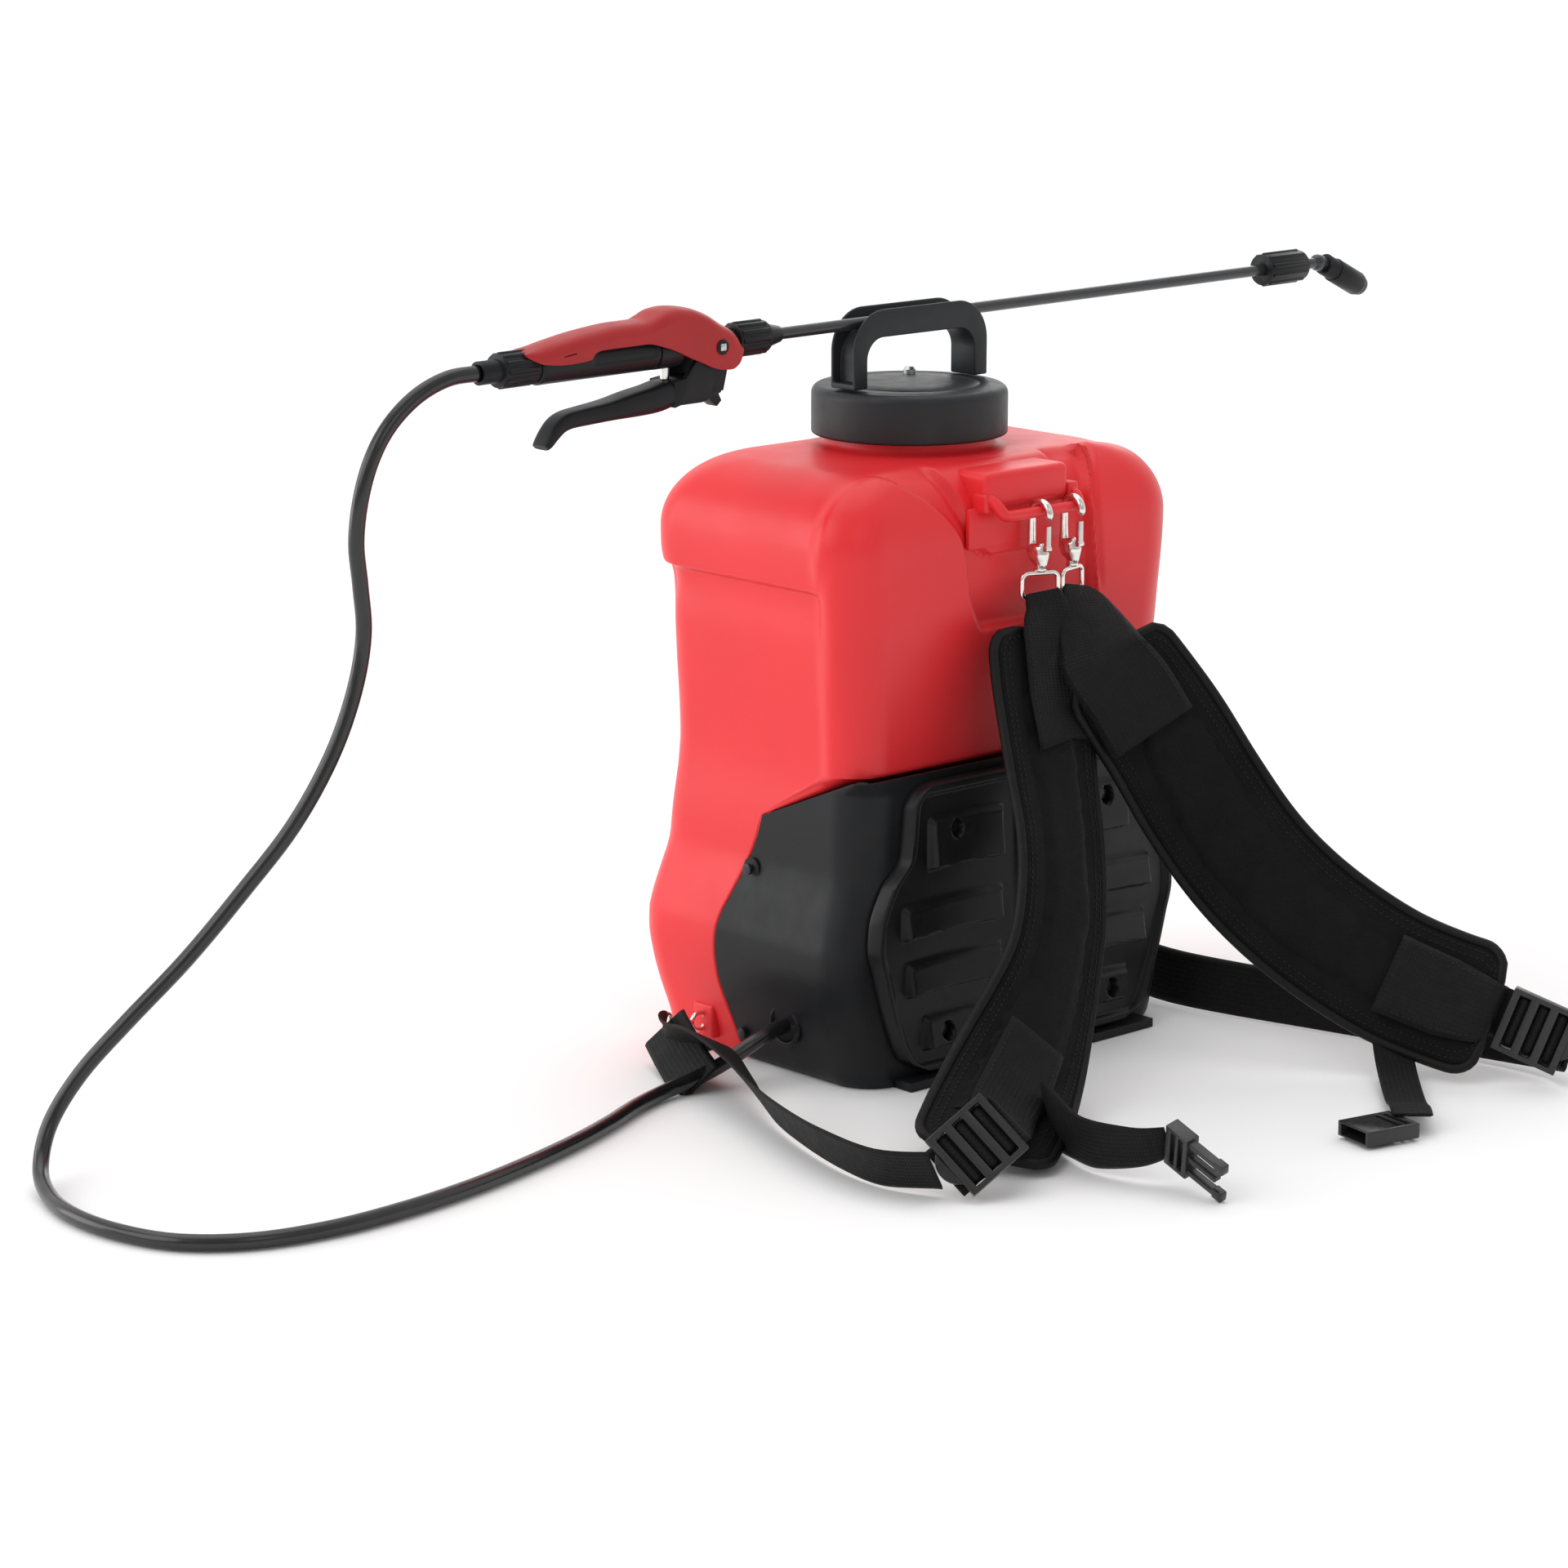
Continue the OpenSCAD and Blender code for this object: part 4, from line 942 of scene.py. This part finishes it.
def build_upper_hook(letter, hx, twist):
    """A trigger snap hook: cast hook and body, swivel, and a square wire eye."""
    turn = np.radians(np.linspace(-8, 205, 22))
    crook = [[0, BAR_Y + 8 * math.cos(a), HOOK_Z + 8 * math.sin(a)] for a in turn]
    back = [[0, HOOK_BACK + 0.2, z] for z in (350, 355, 360, 365, 370)]
    crook[0] = [0, HOOK_BACK + 0.1, 374.5]
    spine = spline(back + crook, 2)
    radius = 2.7 + 0.6 * np.clip((366 - spine[:, 2]) / 14, 0, 1) * (spine[:, 1] > BAR_Y)
    radius[-4:] = [2.5, 2.2, 1.8, 1.2]
    parts = [tube_mesh("crook", mm(spine), radius / 1000, 14, (1, 0, 0))]
    body = [[0, -117.5, 357], [0, -118.5, 352], [0, -120, 348], [0, BAR_Y, 344],
            [0, BAR_Y, 341]]
    parts.append(tube_mesh("body", mm(spline(body, 4)),
                           np.interp(np.arange(17), [0, 3, 8, 12, 16],
                                     [5.6, 8.4, 8.6, 6.0, 4.4]) / 1000, 20, (1, 0, 0), 0.62))
    parts.append(tube_mesh("swivel", mm([[0, BAR_Y, z] for z in (342, 340.5, 340, 338.8, 338)]),
                           mm([3.4, 3.6, 4.4, 4.4, 3.6]), 20, (1, 0, 0)))
    for part in parts:
        part.data.transform(placed((hx, 0, 0)))
    eye = wire_frame("eye", (-13.4, 13.4), (320, 337), 4.5, 0.0017, 7)
    eye.data.transform(placed((hx, BAR_Y, 0), (twist, "Z")))
    finish_object(join(parts + [eye], "snap_hook_" + letter), "nickel", "root",
                  ("upper_hook_" + letter,), sharp=50)
    refined("hook_gate_" + letter, "nickel", 0.0006, segments=2)


for letter, (hx, twist) in UPPER_HOOKS.items():
    build_upper_hook(letter, hx, twist)


def build_lower_hook(side, letter):
    """The hook at the foot of one end: a ring, a swivel and a wire frame for the web."""
    turn = ring_angles(24)
    ring = loop_mesh("ring", mm([[6 * math.cos(a), 0, 6 * math.sin(a)] for a in turn]),
                     0.0016, 12, reference=(0, 1, 0))
    stem = tube_mesh("stem", mm([[side * x, 0, 0] for x in (6.5, 9, 9.6, 13, 13.6, 18, 25)]),
                     mm([2.6, 2.6, 3.4, 3.4, 2.2, 2.0, 2.0]), 14, (0, 1, 0))
    wire = wire_frame("wire", (25.5, 31), (-18.5, 10.5), 3.0, 0.0015, 6, side)
    obj = join([ring, stem, wire], "lower_hook_look_" + letter)
    obj.data.transform(placed((side * 159.6, 40, 22)))
    finish_object(obj, "nickel", "root", ("lower_hook_" + letter,), sharp=50)


for side, letter in ((-1, "a"), (1, "b")):
    build_lower_hook(side, letter)
refined("lower_anchors", "red_plastic", 0.002)
for node in ("plate_screws", "cover_screws"):
    refined(node, "black_oxide", 0.0004, segments=2)
# dark discs of painted shade in the shaded notches round the cover screws
for side in (-1, 1):
    painted_shade_disc(f"screw_notch_shade_{side + 2}", 7.6,
              placed((side * 151.9, -6.5, 138), (side * 90, "Y")))

# ---------- harness ----------
PAD_WIDTH, PAD_CORNER = 0.090, 0.017
CORE_HALF, CORE_THICK = 0.0305, 0.0105
FLANGE_THICK, BINDING_RADIUS = 0.0056, 0.0034
PAD_A = [(-4, -129, 299, 1, 0, -0.1), (-11, -143, 259, 1, 0, -0.1),
         (-23, -163, 210, 0.98, 0.09, -0.15), (-36, -185, 167, 0.96, 0.11, -0.25),
         (-52, -202, 128, 0.95, 0.07, -0.32), (-74, -215, 90, 0.93, 0, -0.37),
         (-104, -229, 60, 0.9, -0.2, -0.4), (-142, -247, 36, 0.86, -0.4, -0.3),
         (-178, -266, 22, 0.8, -0.55, -0.2), (-208, -284, 14, 0.76, -0.62, -0.1)]
PAD_B = [(33, -163, 282, 0.76, -0.1, 0.64), (64, -183, 229, 0.72, -0.3, 0.62),
         (87, -198, 184, 0.65, -0.38, 0.66), (103, -220, 146, 0.6, -0.32, 0.73),
         (118, -244, 117, 0.6, -0.32, 0.73), (136, -273, 91, 0.58, -0.3, 0.75),
         (157, -307, 68, 0.55, -0.26, 0.79), (176, -341, 54, 0.51, -0.21, 0.83),
         (190, -370, 47, 0.48, -0.17, 0.86)]


def settled(obj):
    """Soft goods that reach the floor lie flat on it."""
    for v in obj.data.vertices:
        v.co.z = max(v.co.z, 0.0004)
    return obj


def pad_core(name, frames, pressed):
    """The stuffed middle of a pad before it is inflated: a long loaf with rounded ends,
    thinner over the stretches where webbing is sewn across it."""
    run = runs_of(frames)
    rings = []
    for i, (c, _, u, n) in enumerate(frames):
        end = min(run[i], run[-1] - run[i])
        taper = math.sqrt(max(0.02, 1 - (1 - min(1.0, end / 0.022)) ** 2))
        squeeze = 1.0
        for low, high in pressed:
            inside = min(run[i] - low, high - run[i])
            squeeze = min(squeeze, 1 - 0.45 * float(step(inside + 0.008, 0.016)))
        ring = []
        for a in ring_angles(40):
            ca, sa = math.cos(a), math.sin(a)
            across = math.copysign(abs(ca) ** 0.7, ca) * CORE_HALF * (0.66 + 0.34 * taper)
            up = math.copysign(abs(sa) ** 0.8, sa) * CORE_THICK / 2 * taper * squeeze
            ring.append(c + u * across + n * up)
        rings.append(np.array(ring))
    return loft_mesh(name, rings)


def inflate(obj, pressure, cap):
    """Swells a closed mesh with a cloth simulation, moving no point further than cap."""
    remesh = obj.modifiers.new("voxels", "REMESH")
    remesh.mode = "VOXEL"
    remesh.voxel_size = 0.005
    apply_modifiers(obj)
    rest = np.array([v.co for v in obj.data.vertices])
    cloth = obj.modifiers.new("cloth", "CLOTH")
    cloth.settings.use_pressure = True
    cloth.settings.uniform_pressure_force = pressure
    cloth.settings.effector_weights.gravity = 0
    cloth.settings.quality = 6
    cloth.point_cache.frame_start = 1
    cloth.point_cache.frame_end = 20
    for number in range(1, 21):
        scene.frame_set(number)
    graph = bpy.context.evaluated_depsgraph_get()
    moved = np.array([v.co for v in obj.evaluated_get(graph).data.vertices])
    obj.modifiers.clear()
    scene.frame_set(1)
    shift = moved - rest
    far = np.linalg.norm(shift, axis=1, keepdims=True)
    shift *= np.minimum(1.0, cap / np.maximum(far, 1e-9))
    obj.data.vertices.foreach_set("co", (rest + shift).astype(np.float32).ravel())
    obj.data.update()
    smooth = obj.modifiers.new("soft", "SUBSURF")
    smooth.levels = smooth.render_levels = 1
    apply_modifiers(obj)
    return obj


def pad_halves(frames, inset=0.0):
    """Half the pad's width at each frame, with its corners rounded."""
    run = runs_of(frames)
    end = np.clip(np.minimum(run, run[-1] - run), 0, PAD_CORNER)
    half = PAD_WIDTH / 2 - PAD_CORNER + np.sqrt(PAD_CORNER ** 2 - (PAD_CORNER - end) ** 2)
    return half - inset


def edge_path(frames, lift=0.0, inset=0.0):
    """The line round a pad, inset from its edge."""
    halves = pad_halves(frames, inset)

    def at(i, a):
        c, _, u, n = frames[i]
        return c + u * a * halves[i] + n * lift
    inner = range(1, len(frames) - 1)
    ends = np.linspace(-0.85, 0.85, 6)
    return np.array([at(0, a) for a in ends] + [at(i, 1) for i in inner]
                    + [at(-1, -a) for a in ends] + [at(i, -1) for i in inner[::-1]])


STITCH_LONG, STITCH_RADIUS = 0.0026, 0.00042


def stitch_row(path, spacing=0.0042):
    """Short raised stitches along a path, each a six-sided bead."""
    run = runs_along(path)
    hexagon = [(math.cos(a), math.sin(a)) for a in ring_angles(6)]
    verts, faces = [], []
    for s in np.arange(spacing, run[-1] - spacing / 2, spacing):
        at = np.array([np.interp(s, run, path[:, k]) for k in range(3)])
        ahead = np.array([np.interp(s + 0.0005, run, path[:, k]) for k in range(3)]) - at
        t = unit(ahead)
        side = unit(np.cross(t, (0.2, -1, 0.3)))
        top = np.cross(side, t)
        faces += [tuple(len(verts) + k for k in f) for f in capped_faces(4, 6)]
        for k, r in ((-0.5, 0.35), (-0.25, 1.0), (0.25, 1.0), (0.5, 0.35)):
            verts += [at + t * STITCH_LONG * k + STITCH_RADIUS * r * (side * ca + top * sa)
                      for ca, sa in hexagon]
    return new_object("stitches", verts, faces)


def edge_stitches(frames, widths, lift):
    """Rows of stitches a little in from both edges of a band."""
    return [stitch_row(np.array([c + u * edge * (w / 2 - 0.004) + n * lift
                                 for (c, _, u, n), w in zip(frames, widths)]), 0.004)
            for edge in (-1, 1)]


def build_pad(letter, stations, pressed):
    frames = station_frames(stations, 10)
    core = pad_core(f"pad_{letter}_core", frames[3:-3], pressed)
    inflate(core, pressure=4.0, cap=0.003)
    finish_object(settled(core), "pad_fabric", "root", (f"pad_{letter}",))
    flange = band_mesh(f"pad_{letter}_flange", frames, 2 * pad_halves(frames, 0.001),
                       FLANGE_THICK)
    finish_object(settled(flange), "pad_fabric", "root")
    binding = loop_mesh(f"pad_{letter}_binding", edge_path(frames, inset=0.0012),
                        BINDING_RADIUS, 10, reference=frames[len(frames) // 2][3])
    finish_object(settled(binding), "binding", "root")
    outside = -1.0 if frames[0][3][1] > 0 else 1.0
    rows = []
    for inset in (0.0075, 0.0125):
        loop = edge_path(frames[1:-1], outside * 0.0032, inset)
        rows.append(stitch_row(np.concatenate([loop, loop[:1]])))
    finish_object(settled(join(rows, f"pad_{letter}_stitches")), "thread", "root")


build_pad("a", PAD_A, ((-0.02, 0.07), (0.305, 0.40)))
build_pad("b", PAD_B, ((-0.02, 0.05), (0.245, 0.33)))

# ---------- webbing ----------
LOWER_A = [(-200, 33, 19, 0.3, -0.25, 0.9), (-207, 6, 27, -0.6, 0.3, 0.7),
           (-216, -34, 36, -0.8, 0.2, 0.45), (-232, -80, 30, -0.7, 0.1, 0.6),
           (-250, -125, 21, -0.55, 0.1, 0.8), (-267, -172, 19, -0.5, 0.1, 0.8),
           (-280, -222, 18, -0.5, 0, 0.8), (-282, -268, 17, -0.5, -0.3, 0.8),
           (-268, -304, 20, -0.4, -0.4, 0.75)]
LOWER_B = [(191, 34, 20, -0.1, 0.25, 0.95), (198, 8, 24, 0.1, 0.1, 1),
           (188, -28, 24, 0.15, 0, 1), (174, -62, 21.5, 0.2, 0, 1), (173, -100, 20, 0.3, 0, 1),
           (184, -150, 19, 0.4, 0, 0.9), (198, -205, 19, 0.4, 0, 0.9),
           (212, -262, 19, 0.4, 0, 0.9), (223, -318, 20, 0.4, 0, 0.9),
           (230, -360, 21, 0.4, -0.05, 0.9), (229, -394, 24, 0.3, -0.15, 0.93),
           (219, -416, 29, 0.16, -0.3, 0.94)]
# each top web is one band, from the eye down over the front of its pad
TOP_A = [(5, -124.5, 325, 0.94, -0.34, 0), (4, -131, 314, 0.98, -0.15, 0),
         (1, -138, 298, 1, 0, -0.1), (-4, -151, 261, 1, 0, -0.1),
         (-10, -163.5, 231, 0.985, 0.08, -0.14)]
TOP_B = [(37, -124.5, 325, 0.96, 0.26, 0), (35, -137, 314, 0.92, 0.05, 0.25),
         (24, -165.5, 283, 0.78, -0.12, 0.61), (37, -177.5, 258, 0.74, -0.22, 0.63),
         (50, -186.5, 231, 0.72, -0.28, 0.63)]
CHEST_A = [(-133, -268, 22, -0.3, -0.3, 0.9), (-151, -303, 24, -0.35, -0.25, 0.9),
           (-160, -333, 22, -0.35, -0.1, 0.9), (-152, -366, 25, -0.33, -0.2, 0.9),
           (-139.5, -381, 29, -0.3, -0.32, 0.9)]
CHEST_B = [(150, -318, 28, 0.74, -0.67, 0), (143, -328, 12, 0.74, -0.67, 0),
           (118, -354, 7, 0.74, -0.67, 0), (90, -382, 8, 0.74, -0.67, 0),
           (70, -402, 13.3, 0.74, -0.67, 0), (57, -415, 13.5, 0.74, -0.67, 0)]
# the web's folded end below the hook at the hose's side
FOLD_A = [(-196, 34, 26, 0.6, -0.35, 0.7), (-206, 14, 21, 0.6, -0.35, 0.7),
          (-217, -12, 13, 0.6, -0.35, 0.7), (-226, -36, 7, 0.6, -0.35, 0.7)]
WEB, STITCH_LIFT = 0.0022, 0.0012


def widths_of(stations, rows):
    """A width for every frame, from one for each station."""
    return np.interp(np.linspace(0, 1, (len(stations) - 1) * 8 + 1),
                     np.linspace(0, 1, len(rows)), rows) / 1000


stitching = []
for node, stations, rows, slant in (
        ("lower_web_a", LOWER_A, [38], 0), ("lower_web_b", LOWER_B, [38], 0),
        ("top_web_a", TOP_A, [26, 36, 54, 57, 57], -0.009),
        ("top_web_b", TOP_B, [26, 40, 64, 66, 66], 0.0),
        ("chest_web_a", CHEST_A, [46, 46, 40, 32, 27], 0),
        ("chest_web_b", CHEST_B, [27], 0), ("fold_web_a", FOLD_A, [37], 0)):
    frames = station_frames(stations, 8)
    widths = widths_of(stations, rows)
    web = band_mesh(node + "_woven", frames, widths, WEB, end_slant=slant)
    finish_object(settled(web), "webbing", "root", () if "fold" in node else (node,))
    if "top" in node:
        stitching += edge_stitches(frames[14:-1], widths[14:-1], STITCH_LIFT)
finish_object(join(stitching, "patch_stitches"), "thread", "root")

LOCKS = {"a": placed((-240, -313, 33), (-44, "Z"), (62, "X"), (-48, "Z")),
         "b": placed((203, -398, 38), (-62, "Z"), (90, "X"), (70, "Z"))}
# (along, off) points of the web through a lock, then the stations that lead it there
LOCK_THREAD = [(27, -4.8), (20, -4.6), (14, -0.5), (7, -4.4), (0, -0.5), (-7, -4.4),
               (-14, -0.5), (-20, -4.6), (-27, -4.8)]
LOCK_REACH = {
    "a": ((-110, -238, 61, 0.89, -0.25, -0.38), (-142, -252.5, 41, 0.86, -0.4, -0.3),
          (-171, -268, 31, 0.8, -0.5, -0.25), (-198, -297, 36, 0.5, -0.66, -0.48)),
    "b": ((151, -312, 71, 0.55, -0.26, 0.79), (170.5, -346, 57, 0.51, -0.21, 0.83),
          (183, -371, 50, 0.45, -0.2, 0.86))}
LOCK_WIDTHS = {"a": (46, 47, 45, 38), "b": (56, 54, 44)}
for letter, matrix in LOCKS.items():
    refined(f"ladder_lock_{letter}", "buckle_plastic", 0.0012, segments=3)
    across = list(matrix.to_3x3() @ Vector((1, 0, 0)))
    route = list(LOCK_REACH[letter])
    for y, z in LOCK_THREAD:
        route.append([*np.array(matrix @ Vector(mm([0, y, z]))) * 1000, *across])
    frames = station_frames(route, 5)
    rows = list(LOCK_WIDTHS[letter]) + [37] * len(LOCK_THREAD)
    widths = np.interp(np.arange(len(frames)) / 5, np.arange(len(rows)), rows) / 1000
    web = band_mesh(f"lock_web_{letter}", frames, widths, WEB)
    finish_object(settled(web), "webbing", "root")
    sewn = slice(1, 5 * (len(LOCK_REACH[letter]) - 1))
    outside = -1 if frames[0][3][1] > 0 else 1
    rows = edge_stitches(frames[sewn], widths[sewn], STITCH_LIFT * outside)
    finish_object(join(rows, f"lock_stitches_{letter}"), "thread", "root")
refined("buckle_male", "buckle_plastic", 0.0009, segments=2)
refined("buckle_female", "buckle_plastic", 0.0014, segments=3)

# ---------- CAD nodes that keep their own shape ----------
for row in frame["record"]["subparts"]:
    node = frame["nodes"][row["node"]]
    if not node.hide_render:
        node.data.materials.clear()
        node.data.materials.append(FINISHES[row["material_slot"]][0])


# ---------- floor and light ----------
def build_stage():
    size = 12.0
    obj = new_object("floor", [(-size, -size, -0.0005), (size, -size, -0.0005),
                               (size, size, -0.0005), (-size, size, -0.0005)], [(0, 1, 2, 3)])
    material, _, _ = new_material("floor", {"Base Color": (0.92, 0.92, 0.92, 1.0),
                                            "Roughness": 0.9, "Specular IOR Level": 0.1})
    obj.data.materials.append(material)
    world = bpy.data.worlds.new("studio")
    scene.world = world
    world.use_nodes = True
    tree = world.node_tree
    back = tree.nodes["Background"]
    back.inputs["Color"].default_value = (1.0, 1.0, 1.0, 1.0)
    # a white backdrop behind the object, and a dimmer room in front of it
    place = tree.nodes.new("ShaderNodeTexCoord")
    toward = add_node(tree, "VectorMath", {0: place.outputs["Generated"],
                                           1: (0.674, 0.738, 0.0)}, operation="DOT_PRODUCT")
    tree.links.new(add_range(tree, toward.outputs["Value"], 0.42, 1.04, -1.0, 0.9),
                   back.inputs["Strength"])
    target = Vector((0.0, 0.0, 0.25))
    for name, kind, at, size_x, power in (
            ("key", "SUN", (-2.6, 0.5, 2.0), 0.8, 0.85),
            ("top", "SUN", (0.2, 0.6, 3.0), 1.0, 0.75),
            ("left", "AREA", (-2.5, 2.5, 0.9), 2.0, 30.0),
            ("front", "AREA", (-1.2, -3.0, 2.2), 1.2, 5.0),
            ("rim", "AREA", (2.6, 1.6, 1.6), 1.2, 8.0)):
        light = bpy.data.lights.new(name, kind)
        if kind == "AREA":
            light.size = size_x
        else:
            light.angle = size_x
        light.energy = power
        lamp = bpy.data.objects.new(name, light)
        scene.collection.objects.link(lamp)
        lamp.location = at
        lamp.rotation_euler = (target - Vector(at)).to_track_quat("-Z", "Y").to_euler()
    scene.view_settings.view_transform = "Standard"


build_stage()

bpy.context.view_layer.update()
